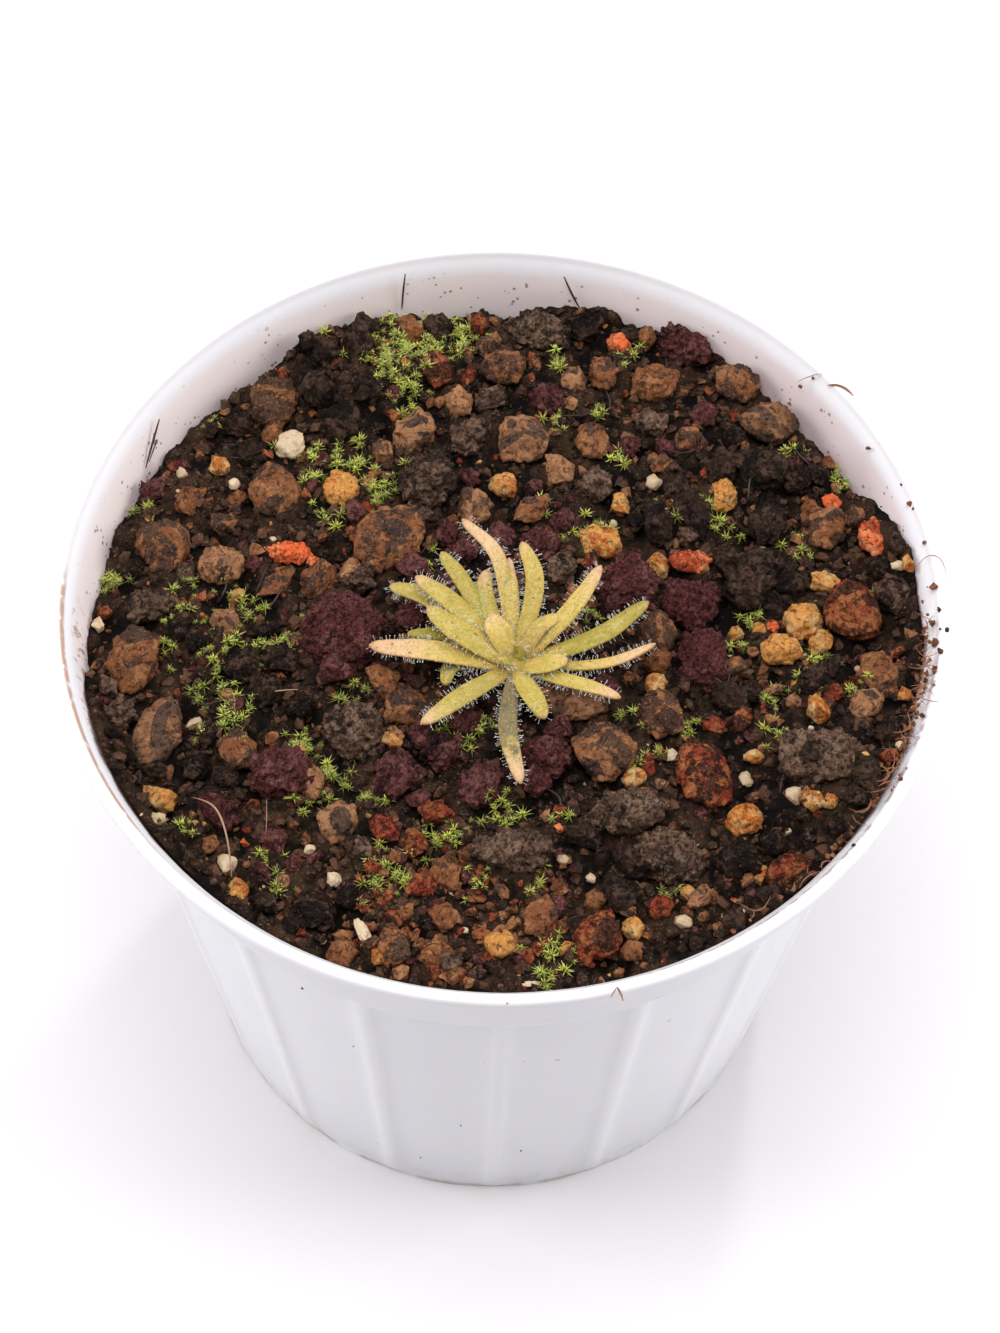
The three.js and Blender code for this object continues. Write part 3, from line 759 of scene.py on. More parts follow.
def model_stone(name, dents, pores):
    """The node's own form, worn smooth at its edges and then dented and pitted."""
    stone = linked(name + "_worn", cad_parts[name].data.copy())
    opened(stone)
    bpy.ops.mesh.remove_doubles(threshold=0.002 * MM)
    bpy.ops.object.mode_set(mode="OBJECT")
    applied(stone, "REMESH", mode="VOXEL", voxel_size=max(max(stone.dimensions) / 25, 0.25 * MM))
    applied(stone, "SMOOTH", factor=0.5, iterations=2)
    pitted = name.startswith(("lava", "slate"))
    roughened(stone, dents, (1.1 if pitted else 0.55) * MM, middle=0.42)
    roughened(stone, pores, (0.8 if pitted else 0.34) * MM)
    return stone


# Dark mineral patches that are seen on single stones: place, half length, half width and direction
SPOTS = [
    (-33.6, -12.9, 3.2, 0.8, 80), (-34.2, -8.8, 1.0, 0.5, 20), (-26.4, -13.7, 1.4, 0.8, 10),
    (-15.6, -23.7, 1.5, 1.2, 100), (0.4, 34.6, 2.6, 1.1, 0), (1.4, 23.6, 0.9, 0.6, 100),
    (-25.6, 18.4, 1.7, 1.4, 120), (-10.6, 9.9, 1.8, 1.1, 0), (18.7, 31.6, 1.2, 0.9, 0),
    (12.2, 32.6, 1.3, 0.9, 90), (16.6, -12.3, 1.5, 1.2, 0), (14.4, -10.6, 0.5, 0.4, 0),
    (-9.9, -10.0, 0.9, 0.8, 0), (-8.0, -10.3, 1.0, 0.7, 0), (8.5, -13.8, 1.5, 1.2, 0),
    (10.9, -13.2, 1.0, 0.7, 0), (8.4, -17.7, 1.5, 0.6, 0), (27.2, 25.8, 1.3, 0.6, 10),
    (31.9, 24.2, 2.0, 0.9, 100), (38.2, 0.8, 1.9, 1.4, 0), (-28.6, 12.2, 1.1, 0.9, 0),
    (-8.8, 24.0, 1.8, 0.7, 28), (3.2, 13.8, 1.0, 0.5, 0), (-36.6, -2.6, 2.0, 1.5, 0),
    (-35.4, 11.4, 1.2, 0.8, 0), (-27.4, -0.4, 0.6, 0.4, 0), (26.0, 31.4, 0.9, 0.7, 0),
    (-24.9, 29.6, 0.9, 0.7, 60), (36.6, -10.6, 0.9, 0.8, 0), (-32.4, 16.0, 1.2, 0.7, 0),
    (22.0, -15.0, 1.0, 1.4, 0), (19.0, -14.2, 1.1, 1.6, 70),
]


def spots_at(places):
    """How far inside a dark patch each place is, in shares of the patch: below 0 outside all of them."""
    best = np.full(len(places), -1.0)
    for cx, cy, long, short, degrees in SPOTS:
        angle = math.radians(degrees)
        dx, dy = places[:, 0] / MM - cx, places[:, 1] / MM - cy
        along = dx * math.cos(angle) + dy * math.sin(angle)
        aside = dy * math.cos(angle) - dx * math.sin(angle)
        best = np.maximum(best, 1.0 - np.hypot(along / long, aside / short))
    return best


def model_gravel(finishes):
    rng = random.Random(2)
    dents = texture("dents", "CLOUDS", noise_scale=1.3 * MM, noise_depth=4, noise_type="HARD_NOISE")
    pores = texture("pores", "STUCCI", noise_scale=0.5 * MM, turbulence=5.0)
    for name in sorted(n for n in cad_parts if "_stone_" in n):
        colour = name.split("_")[0]
        stone = model_stone(name, dents, pores)
        mark(stone, "shade", rng.random() * 0.8)
        mark(stone, "spot", spots_at(corners_of(stone)))
        finished(stone, finishes[colour])
        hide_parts(name)


# Soil

# The soil's side below its surface, as (radius, height), down to its flat underside
SKIRT = [(41.8, 70.0), (40.6, 64.0), (39.6, 61.5), (38.6, 57.0), (32.2, 4.5), (30.9, 3.1)]
SOIL_GRID = 236


def model_soil():
    """Soil: a fine grid trimmed to the wall, raised to the surface's height and broken into crumbs."""
    reach = inside_radius(SOIL_LEVEL) - 0.12
    nothing_selected()
    bpy.ops.mesh.primitive_grid_add(x_subdivisions=SOIL_GRID, y_subdivisions=SOIL_GRID, size=2 * reach * MM)
    soil = newest("soil_bed")
    pick(soil, "VERT", lambda p: math.hypot(p.x, p.y) > (reach + 0.05) * MM)
    bpy.ops.mesh.delete(type="VERT")
    bpy.ops.mesh.select_mode(type="VERT")
    bpy.ops.mesh.select_non_manifold()
    bpy.ops.object.mode_set(mode="OBJECT")
    rim = np.array([v.select for v in soil.data.vertices])
    place = corners_of(soil) / MM
    out = np.hypot(place[:, 0], place[:, 1])
    place[rim, :2] *= (reach / out[rim])[:, None]
    place[:, 2] = soil_top(place[:, 0], place[:, 1])
    widen = np.clip((place[:, 2] - SOIL_LEVEL) * 0.2, -0.45, 1.0) * np.clip((out - 36) / 5, 0, 1)
    place[:, :2] *= (1 + widen / reach)[:, None]
    set_corners(soil, place * MM)
    clods = texture("clods", "CLOUDS", noise_scale=3.2 * MM, noise_depth=2)
    cracks = texture("cracks", "VORONOI", noise_scale=1.7 * MM, weight_1=-1.0, weight_2=1.0)
    grains = texture("grains", "CLOUDS", noise_scale=0.7 * MM, noise_depth=3)
    level = corners_of(soil)[:, 2]
    roughened(soil, clods, 2.0 * MM, "Z")
    roughened(soil, cracks, 1.3 * MM, "Z", 0.42)
    roughened(soil, grains, 1.0 * MM, "Z")
    remember_ground(soil)
    # How far each corner was raised or lowered, for the soil's painted shade in the low places.
    mark(soil, "lift", np.clip((corners_of(soil)[:, 2] - level) / (1.6 * MM) + 0.5, 0, 1))
    opened(soil)
    bpy.ops.mesh.select_all(action="DESELECT")
    bpy.ops.mesh.select_non_manifold()
    drawn_out(SKIRT)
    bpy.ops.mesh.edge_face_add()
    bpy.ops.mesh.select_all(action="SELECT")
    bpy.ops.mesh.normals_make_consistent(inside=False)
    bpy.ops.object.mode_set(mode="OBJECT")
    place = corners_of(soil)
    place[place[:, 2] < 7.0 * MM, 2] = SKIRT[-1][1] * MM
    set_corners(soil, place)
    return soil


def crumb_models():
    """Six angular crumbs of unit size, as shapes to copy."""
    models = []
    for k in range(6):
        nothing_selected()
        bpy.ops.mesh.primitive_ico_sphere_add(subdivisions=1, radius=0.52, location=(0, 0, 0))
        crumb = newest("crumb")
        opened(crumb)
        bpy.ops.transform.vertex_random(offset=0.36, uniform=0.0, seed=k + 1)
        models.append(shape_of(crumb))
    return models


def strewn(rng, count, sizes, models, ellipses, zone=(0.0, 0.0, 42.2, 42.2)):
    """Crumbs strewn over an oval of the soil by seeded draws, clear of the stones and of the crown."""
    wanted = []
    while len(wanted) < count:
        radius, angle = math.sqrt(rng.random()), rng.uniform(0, 2 * math.pi)
        x = zone[0] + zone[2] * radius * math.cos(angle)
        y = zone[1] + zone[3] * radius * math.sin(angle)
        size = between(*sizes, rng.random() ** 2)
        if math.hypot(x - CROWN.x, y - CROWN.y) < 2.2 or not clear_of_stones(x, y, ellipses):
            continue
        if math.hypot(x, y) + size * 0.5 > inside_radius(float(soil_top(x, y))) - 0.1:
            continue
        place = (x * MM, y * MM, (ground(x, y) + size * 0.16) * MM)
        marks = {"shade": rng.random(), "spot": -1.0}
        wanted.append((rng.choice(models), turned(rng, size * MM, 0.7), place, marks))
    return wanted


# Pebbles and lumps that are seen one by one, by colour: place and size in millimetres
SEEN = {
    "ochre": [
        (12.7, 14.8, 2.9), (23.6, 15.2, 3.5), (-33.6, -20.8, 3.9), (-20.3, -15.2, 2.1), (-0.2, -36.0, 3.0),
        (28.2, -3.8, 3.9), (31.5, -11.4, 3.6), (24.0, -1.0, 2.4), (-25.3, -31.0, 2.5), (42.0, 4.9, 1.6),
        (40.4, -10.2, 2.0), (32.4, -2.2, 3.4), (33.4, 4.3, 3.2), (16.4, 7.4, 2.8), (26.4, -0.6, 2.0),
        (24.8, -16.5, 2.1), (30.1, -22.2, 2.3), (31.6, -22.6, 1.7), (35.0, -18.8, 2.4), (13.1, -18.2, 2.6),
        (13.6, -20.2, 1.5), (17.8, -30.4, 1.6), (12.4, -34.4, 2.6), (0.5, 16.9, 3.2), (-29.4, 19.4, 2.5),
        (-26.9, 3.9, 1.7), (-11.6, -37.2, 2.2), (6.4, -36.4, 1.4), (15.6, -7.2, 2.6), (-10.8, -14.0, 2.2),
        (6.0, -36.8, 1.8),
    ],
    "russet": [
        (-6.4, -22.2, 4.1), (-24.6, -21.2, 2.6), (-11.4, -24.4, 3.8), (-8.6, -25.6, 3.2),
        (21.0, -12.2, 2.6), (24.0, -11.5, 3.0), (7.7, -37.4, 2.2), (-40.2, 0.9, 1.9), (-2.0, 38.3, 3.0),
        (33.2, -9.6, 2.4), (38.2, -18.4, 1.9), (15.0, -32.4, 2.8), (-7.8, -30.2, 3.4), (-3.2, 31.2, 2.8),
    ],
    "tan": [
        (-18.6, -18.9, 3.4), (-16.0, -23.4, 4.6), (-9.0, 23.9, 5.0), (6.5, 18.8, 4.2), (36.1, -11.3, 3.5),
        (-27.9, 0.0, 4.5), (-4.2, 27.6, 3.9), (-12.2, 21.4, 3.2), (15.6, -19.2, 1.5), (23.5, -29.3, 1.6),
        (18.9, -31.4, 3.4), (20.6, -34.4, 1.6), (8.2, 31.0, 3.2), (29.2, -10.2, 1.9), (-21.0, -29.8, 1.6),
        (0.0, -33.0, 1.3), (-6.7, -37.2, 1.5), (-9.8, -38.6, 2.0), (-15.4, 5.8, 3.2), (35.4, 17.0, 1.8),
        (1.0, 24.0, 3.2),
    ],
    "brown": [
        (-18.5, 5.0, 4.8), (-12.0, -7.2, 4.3), (-10.4, -36.4, 4.4), (3.6, -33.4, 4.2), (16.0, -4.6, 3.5),
        (23.8, -5.2, 2.7), (12.2, -36.8, 2.8), (20.0, 22.6, 3.6), (-1.2, 35.2, 3.2), (-23.9, 23.3, 3.0),
        (-32.4, 15.0, 3.3), (-28.6, 11.9, 3.6), (-22.8, 4.4, 3.4), (3.2, 13.6, 3.8), (32.8, 14.0, 2.8),
        (37.2, 13.0, 2.8), (16.2, 36.6, 2.6), (-27.4, 15.4, 2.2), (8.4, 3.2, 4.0), (-15.3, -37.0, 3.0),
        (-15.1, -35.0, 1.8), (-6.4, -36.8, 1.8), (-5.6, -28.7, 3.6), (-5.8, -33.4, 3.3),
        (-28.2, -25.3, 2.0), (-13.0, 6.7, 3.0), (-9.6, 37.4, 3.4), (25.6, -3.8, 1.8), (36.4, -6.5, 1.6),
        (9.0, -31.4, 3.0),
    ],
    "orange": [(13.2, 35.8, 3.3), (34.9, 14.8, 2.2), (-19.9, 2.3, 0.9), (5.5, -23.8, 1.2), (27.8, -0.6, 1.7)],
    "lava": [
        (13.8, 21.8, 3.0), (17.8, 21.9, 2.8), (22.0, 26.0, 3.5), (-27.2, -22.3, 4.4), (-22.4, -24.8, 3.8),
        (-3.0, 18.4, 2.8), (6.8, 12.4, 3.6), (3.6, 16.4, 2.4), (-5.4, 10.4, 3.2), (-3.6, 8.8, 3.4),
        (0.2, 9.6, 4.4), (-15.0, 13.2, 3.3), (-36.2, 16.4, 3.4), (-8.8, 6.4, 4.0), (-4.6, 5.0, 3.6),
        (-16.4, -6.2, 4.6), (-9.2, 0.6, 3.6), (-7.8, -13.6, 3.8), (-3.6, -11.6, 4.0), (3.6, -18.8, 3.4),
        (-8.0, -20.6, 2.6), (6.8, -28.2, 1.3), (-25.4, 7.0, 2.2), (12.6, 3.0, 3.4), (10.4, -7.6, 3.6),
        (6.0, -12.6, 3.4),
    ],
    "slate": [
        (10.2, 17.2, 4.6), (16.2, 25.2, 3.8), (-0.8, 28.6, 4.1), (-14.2, 5.2, 3.4), (-39.0, -8.8, 3.0),
        (-32.3, 6.2, 2.6), (-8.6, 13.4, 3.2), (6.4, 6.4, 3.8), (-13.4, -26.6, 3.2), (22.0, 28.4, 1.9),
        (-5.0, -38.2, 2.8), (-2.4, -39.0, 2.0), (19.4, 10.6, 2.8), (41.2, 2.4, 4.0),
    ],
    "pale": [
        (28.3, -21.4, 2.1), (17.0, -15.3, 1.9), (17.2, -33.6, 2.1), (5.8, -27.1, 1.8), (-16.2, -29.2, 1.5),
        (-30.4, -11.5, 1.7), (16.3, 17.6, 2.0), (-21.9, 21.8, 3.1), (27.0, 9.0, 1.6), (-40.8, -0.4, 1.7),
        (-18.6, -26.0, 1.3), (-26.4, -27.7, 2.3), (-33.0, -23.9, 1.8), (36.1, -5.3, 0.9),
        (24.0, -18.6, 1.7), (39.0, -17.1, 0.9), (12.2, -18.0, 0.9), (8.6, -28.9, 1.2), (21.2, -33.0, 0.7),
        (22.9, -32.9, 0.7), (12.0, 12.5, 1.0), (32.4, 10.7, 0.8), (-33.2, 18.1, 1.6), (-27.7, 17.0, 1.5),
        (-23.4, 10.3, 0.9), (40.7, 5.1, 1.4), (0.5, -33.7, 0.9), (-3.6, -34.4, 0.8), (29.0, 20.2, 0.9),
        (27.4, -24.8, 1.3), (30.6, -13.4, 0.6),
    ],
    "peat": [
        (-14.0, 27.6, 5.2), (-18.0, 33.0, 5.0), (-15.0, 34.0, 4.4), (-19.2, 28.4, 5.0), (-16.6, 24.4, 4.8),
        (-21.0, 36.0, 3.4), (-14.4, 37.0, 3.8), (-6.4, 38.0, 3.4), (-26.2, 21.0, 3.6), (-27.8, 24.4, 3.4),
        (-30.4, 24.4, 3.0), (8.8, 38.0, 4.6), (15.0, 38.0, 3.4), (27.5, 17.8, 6.0), (31.0, 17.6, 4.0),
        (23.6, 18.4, 4.2), (19.0, 17.0, 3.6), (19.2, 14.2, 4.0), (25.0, 23.2, 3.2), (14.2, 12.6, 3.0),
        (16.4, 11.8, 4.6), (20.4, 12.6, 4.2), (28.0, 12.2, 5.0), (23.8, 7.0, 4.6), (27.0, 6.6, 5.8),
        (25.4, 3.6, 5.6), (29.6, 4.8, 4.6), (29.0, 1.8, 4.6), (39.2, 6.4, 3.4), (41.4, 7.4, 2.4),
        (33.2, 18.6, 3.0), (32.0, 21.0, 2.4), (25.0, -8.2, 4.0), (31.0, -7.8, 4.0), (23.0, -9.4, 4.0),
        (12.8, -27.4, 4.6), (22.5, -27.7, 4.2), (26.2, -26.0, 3.2), (27.0, -24.0, 3.0), (8.0, -24.4, 4.0),
        (11.4, -31.2, 3.8), (22.6, -34.2, 3.0), (36.5, -21.2, 3.8), (34.6, -23.2, 3.2), (26.4, -32.6, 3.0),
        (32.4, -26.0, 3.2), (37.8, -15.3, 3.2), (-32.6, -1.0, 3.2), (-30.4, -2.8, 3.0), (-29.0, -13.4, 3.0),
        (-30.1, -16.7, 3.4), (-37.9, -14.2, 3.0), (-36.4, -16.8, 2.6), (-17.6, -32.4, 4.4),
        (-22.8, -32.0, 3.6), (-14.6, -31.0, 3.0), (-20.0, -34.6, 3.0), (-1.0, -38.6, 2.6),
        (19.0, -37.0, 2.6), (30.0, -16.8, 4.0), (11.6, -23.6, 4.0), (-21.4, -27.6, 3.2), (7.0, 36.0, 3.0),
        (-34.0, -17.6, 3.0), (-26.0, -5.0, 4.2), (-22.0, -4.4, 4.4), (-23.6, -8.0, 4.6),
        (-20.0, -10.0, 3.6), (-27.0, -18.0, 3.0),
    ],
}
# Long pieces: colour, place, length, width and direction
LONG = [
    ("peat", -23.4, -0.9, 5.4, 1.8, 15), ("peat", 26.4, 11.0, 4.4, 1.5, -25),
    ("pale", -13.3, -34.7, 3.3, 1.2, -68), ("tan", 27.7, -8.0, 2.6, 1.2, 12),
    ("orange", -18.6, 7.2, 3.9, 1.6, -18), ("pale", 2.6, -40.2, 1.9, 0.7, 3),
    ("peat", -20.6, 34.6, 3.2, 1.2, 205), ("peat", 33.6, -5.4, 3.6, 1.3, 70),
    ("tan", -10.4, -13.4, 2.5, 1.2, -50),
]


def model_grit(models, ellipses, brown):
    """Loose crumbs and grit strewn over the soil, one piece for each colour."""
    rng = random.Random(21)
    draws = {
        "peat_crumbs": (4800, (0.25, 1.5), crumb_finish(), "soil"),
        "brown_grit": (520, (0.3, 1.8), brown, "brown"),
        "tan_grit": (110, (0.4, 1.6), gravel_finish("tan", True), "tan"),
        "ochre_grit": (60, (0.4, 1.3), gravel_finish("ochre", True), "ochre"),
        "orange_grit": (26, (0.4, 1.2), gravel_finish("orange", True), "orange"),
        "russet_grit": (170, (0.4, 1.9), gravel_finish("russet", True), "russet"),
        "lava_grit": (260, (0.4, 2.0), gravel_finish("lava", True), "lava"),
        "pale_grit": (60, (0.25, 0.7), pale_finish(), "ochre"),
    }
    for name, (count, sizes, finish, slot) in draws.items():
        wanted = strewn(rng, count, sizes, models, ellipses)
        if name in ("brown_grit", "russet_grit"):
            wanted += strewn(rng, 110, (0.5, 2.0), models, ellipses, (-4.0, -32.5, 11.0, 6.8))
        finished(copies(name, wanted), finish, rounded=False)


def model_lump(rng, size, lumps, x, y, rough=0.28):
    """An angular lump of unit size: a rough polyhedron cut finer, worn at its edges and pitted."""
    nothing_selected()
    start = rng.choice((1, 2))
    bpy.ops.mesh.primitive_ico_sphere_add(subdivisions=start, radius=0.5, location=(x, y, 0))
    lump = newest("lump")
    opened(lump)
    offset = 0.26 if start == 1 else 0.15
    bpy.ops.transform.vertex_random(offset=offset, uniform=0.0, seed=rng.randrange(9000))
    levels = (3 if start == 1 else 2) - (size < 3.1)
    applied(lump, "SUBSURF", subdivision_type="SIMPLE", levels=levels, render_levels=levels)
    applied(lump, "SMOOTH", factor=0.5, iterations=2 if size >= 3.1 else 1)
    roughened(lump, lumps, rough)
    set_corners(lump, corners_of(lump) - np.array((x, y, 0)))
    return shape_of(lump)


def held_inside(x, y, size):
    """The same place, or one pulled in until the lump is clear of the wall."""
    out = math.hypot(x, y)
    room = inside_radius(float(soil_top(x, y))) - 0.56 * size - 0.1
    share = min(1.0, room / max(out, 1.0))
    return x * share, y * share


def model_pebbles(finishes):
    """Pebbles and lumps between the larger gravel, one piece for each colour."""
    rng = random.Random(5)
    lumps = texture("pebble_lumps", "CLOUDS", noise_scale=0.34, noise_depth=4, noise_type="HARD_NOISE")
    wanted = {colour: [] for colour in SEEN}
    for colour, rows in SEEN.items():
        for x, y, size in rows:
            x, y = held_inside(x, y, size)
            z = (ground(x, y) + float(soil_top(x, y))) / 2 + size * 0.14
            turn = turned(rng, size * MM, 0.85, 0.5)
            lump = model_lump(rng, size, lumps, x, y, 0.28 if colour in PITTED else 0.17)
            place = np.array((x, y, z)) * MM
            marks = {"shade": rng.random() * 0.6, "spot": spots_at(lump[0] @ turn.T + place)}
            wanted[colour].append((lump, turn, place, marks))
    for colour, x, y, length, width, degrees in LONG:
        spin = np.array(Matrix.Rotation(math.radians(degrees), 3, "Z"))
        turn = spin @ np.diag((length * MM, width * MM, width * 0.8 * MM))
        place = (x * MM, y * MM, (float(soil_top(x, y)) + width * 0.3) * MM)
        marks = {"shade": rng.random() * 0.5, "spot": -1.0}
        wanted[colour].append((model_lump(rng, length, lumps, x, y), turn, place, marks))
    for colour, rows in wanted.items():
        finished(copies(colour + "_pebbles", rows), finishes[colour])


# Moss

# Patches of moss: place, spread and number of tufts
MOSS = [
    (-11.0, 35.0, 2.6, 30), (-7.0, 36.6, 2.6, 26), (-4.0, 37.0, 2.0, 16), (-12.2, 32.6, 1.8, 14),
    (-10.2, 29.5, 1.6, 12), (-10.0, 27.0, 1.2, 5), (-20.0, 20.4, 2.0, 11), (-16.6, 20.4, 2.2, 12),
    (-13.4, 17.8, 2.0, 14), (-12.4, 15.8, 1.5, 8), (-17.6, 13.6, 1.5, 5), (6.7, 33.1, 1.0, 5),
    (5.6, 24.8, 1.0, 5), (13.6, 34.2, 1.2, 6), (10.4, 27.3, 0.8, 4), (-29.0, 2.2, 1.7, 8),
    (-25.8, 1.6, 1.5, 6), (-33.0, 1.0, 1.5, 5), (-34.0, -2.8, 1.6, 7), (-28.0, -3.6, 1.9, 12),
    (-24.6, -3.0, 1.6, 7), (-21.0, -2.2, 1.5, 6), (-28.2, -8.8, 1.7, 11), (-26.8, -11.2, 1.5, 9),
    (-29.2, -13.2, 0.8, 3), (-25.8, -14.4, 0.8, 3), (-40.6, 5.6, 1.4, 10), (-14.4, -8.4, 1.2, 5),
    (-6.8, 7.6, 1.3, 4), (-4.0, -13.4, 1.3, 8), (-1.4, -12.4, 1.2, 5), (-19.4, -14.0, 1.5, 8),
    (-16.4, -17.6, 1.5, 7), (-18.4, -20.2, 1.6, 8), (-13.2, -20.2, 1.6, 8), (-30.7, -23.4, 0.9, 4),
    (-21.8, -30.5, 1.3, 5), (-11.4, -28.6, 1.7, 10), (-9.2, -29.6, 1.6, 8), (-12.6, -30.4, 1.2, 5),
    (-6.6, -25.0, 1.5, 7), (-4.2, -24.0, 1.2, 5), (-3.0, -29.8, 1.4, 6), (0.4, -22.0, 1.5, 6),
    (4.4, -38.2, 2.0, 15), (-1.1, -20.7, 0.8, 3), (5.7, -22.4, 0.8, 3), (13.8, -11.4, 1.6, 7),
    (18.6, -12.4, 1.5, 6), (16.2, -14.6, 0.9, 3), (13.6, -17.2, 0.9, 3), (27.2, -14.2, 1.6, 7),
    (26.4, 0.0, 1.3, 5), (24.6, -2.6, 1.2, 4), (30.4, 8.4, 1.5, 6), (20.2, -2.4, 1.2, 3),
    (32.4, -4.8, 1.5, 5), (35.4, -8.6, 1.3, 5), (30.0, -8.0, 1.3, 5), (27.0, -8.2, 1.2, 4),
    (9.2, 1.6, 1.2, 4), (4.8, 15.0, 1.0, 4), (10.0, 11.8, 1.2, 5), (7.2, 11.4, 1.2, 5),
    (-31.0, 25.4, 1.4, 4), (-37.0, 14.0, 1.4, 4), (-14.6, 37.0, 1.4, 5), (35.8, 18.6, 1.6, 8),
    (30.6, 21.4, 1.0, 4), (12.0, 21.0, 1.2, 4), (38.6, 3.0, 1.2, 4), (21.2, 14.0, 1.4, 6),
    (17.0, 13.0, 1.2, 5), (-22.0, -27.0, 1.2, 4), (3.6, -30.4, 1.4, 5), (15.8, -30.4, 1.2, 4),
    (-32.0, 4.6, 1.2, 4), (24.0, 12.0, 1.0, 4),
]


def moss_models():
    """Four star tufts of unit radius: pointed leaflets in a low and a high whorl."""
    nothing_selected()
    bpy.ops.mesh.primitive_cone_add(vertices=4, radius1=0.20, radius2=0.0, depth=1.0, location=(0, 0, 0.5))
    leaflet = newest("leaflet")
    opened(leaflet)
    bpy.ops.transform.resize(value=(1.0, 0.36, 1.0), center_override=(0, 0, 0))
    blade = shape_of(leaflet)
    stars = []
    for k in range(4):
        rng = random.Random(70 + k)
        places, triangles, count = [], [], 0
        for rise, number in ((14, 6), (42, 5), (72, 3)):
            for j in range(number):
                lean = Matrix.Rotation(math.radians(90 - rise + rng.uniform(-12, 12)), 3, "Y")
                spin = Matrix.Rotation(2 * math.pi * (j + rng.uniform(-0.25, 0.25)) / number, 3, "Z")
                length = rng.uniform(0.75, 1.1)
                turn = np.array(spin @ lean @ Matrix.Diagonal((1.0, 1.0, length)))
                places.append(blade[0] @ turn.T)
                triangles.append(blade[1] + count)
                count += len(blade[0])
        stars.append((np.concatenate(places), np.concatenate(triangles)))
    return stars


def model_moss(ellipses):
    rng = random.Random(11)
    stars = moss_models()
    wanted = []
    for cx, cy, spread, number in MOSS:
        for _ in range(round(number * 1.8)):
            x, y = cx + rng.gauss(0, spread * 0.72), cy + rng.gauss(0, spread * 0.72)
            if math.hypot(x, y) > 41.2:
                continue
            lift = 0.0 if clear_of_stones(x, y, ellipses, 0.7) else 1.1
            place = (x * MM, y * MM, (max(ground(x, y), float(soil_top(x, y)) - 0.5) + 0.3 + lift) * MM)
            star = rng.choice(stars)
            point = np.clip(np.linalg.norm(star[0], axis=1), 0, 1)
            size = between(0.45, 1.2, rng.random() ** 1.2) * MM
            turn = turned(rng, size, 1.0, 0.35)
            wanted.append((star, turn, place, {"shade": rng.random(), "point": point}))
    finished(copies("moss_tufts", wanted), moss_finish())


# Rosette

# Each leaf: direction, reach and rise of its middle and of its tip, width, green, tan and dull. They
# follow the model's leaves, some a little narrower. The short one at 48 degrees is only in this file.
LEAVES = [
    ((177, 8.5, 2.3), (175, 14.6, 2.0), 2.5, 0.15, 0.74, 0.0),
    ((140, 8.6, 3.8), (142, 12.7, 4.4), 2.2, 0.55, 0.42, 0.0),
    ((143, 11.4, 2.4), (147, 15.0, 2.2), 2.1, 0.60, 0.30, 0.0),
    ((160, 5.7, 3.3), (152, 10.0, 3.6), 2.65, 0.55, 0.32, 0.0),
    ((158, 8.1, 1.3), (164, 11.2, 1.1), 1.45, 0.95, 0.10, 0.0),
    ((125, 9.7, 4.2), (125, 12.8, 5.0), 1.8, 0.75, 0.15, 0.0),
    ((100, 10.0, 4.9), (110, 15.3, 5.2), 1.65, 0.15, 0.82, 0.0),
    ((74, 7.3, 5.4), (87, 10.9, 6.15), 1.95, 0.35, 0.40, 0.0),
    ((93, 6.7, 3.7), (93, 10.3, 4.2), 1.5, 0.15, 0.66, 0.0),
    ((116, 6.8, 3.1), (106, 9.6, 3.7), 2.0, 0.60, 0.55, 0.0),
    ((36, 6.9, 4.2), (46, 12.4, 5.0), 1.95, 0.25, 0.52, 0.0),
    ((12, 9.2, 3.4), (22, 14.4, 3.8), 2.05, 0.95, 0.05, 0.0),
    ((-5, 9.4, 2.1), (6, 14.1, 2.2), 1.2, 0.15, 0.75, 0.0),
    ((-27, 7.3, 2.1), (-24, 11.4, 1.8), 1.6, 0.35, 0.60, 0.0),
    ((-71, 4.9, 2.1), (-67, 7.6, 1.7), 2.2, 0.60, 0.30, 0.0),
    ((-139, 7.1, 1.8), (-142, 11.9, 1.3), 2.15, 0.60, 0.50, 0.15),
    ((-95, 9.1, 2.0), (-88, 14.3, 1.7), 1.95, 0.80, 0.62, 1.0),
    ((-177, 6.3, 0.8), (-160, 7.3, 0.4), 1.8, 0.90, 0.10, 0.5),
    ((122, 3.0, 2.6), (122, 4.9, 3.1), 2.7, 0.10, 0.50, 0.0),
    ((-20, 3.3, 2.3), (-6, 5.2, 2.6), 2.2, 0.35, 0.40, 0.0),
    ((48, 3.4, 2.9), (41, 5.9, 3.7), 1.9, 0.00, 0.30, 0.3),
    ((60, 0.7, 2.0), (71, 1.1, 2.9), 1.3, 1.00, 0.00, 0.0),
    ((200, 1.0, 1.8), (205, 1.9, 2.4), 1.4, 0.90, 0.10, 0.0),
]
LEAF_RINGS = 18
HAIRS = 2400
LEAF_THICKNESS = 0.86


def from_crown(degrees, reach, rise):
    return CROWN + Vector((*around(degrees, reach), rise))


def spine_point(points, share):
    """The model's own curve through a leaf's root, middle and tip: a point and the way ahead."""
    first, last = points[0] * 2 - points[1], points[2] * 2 - points[1]
    chain = [first, *points, last]
    start = 0 if share < 0.5 else 1
    t = share * 2 - start
    a, b, c, d = chain[start : start + 4]
    da, db, dc = ((q - p).length ** 0.5 for p, q in ((a, b), (b, c), (c, d)))
    go = ((b - a) / da - (c - a) / (da + db) + (c - b) / db) * db
    come = ((c - b) / db - (d - b) / (db + dc) + (d - c) / dc) * db
    square = (c - b) * 3 - go * 2 - come
    cube = (b - c) * 2 + go + come
    return b + go * t + square * t**2 + cube * t**3, go + square * 2 * t + cube * 3 * t**2


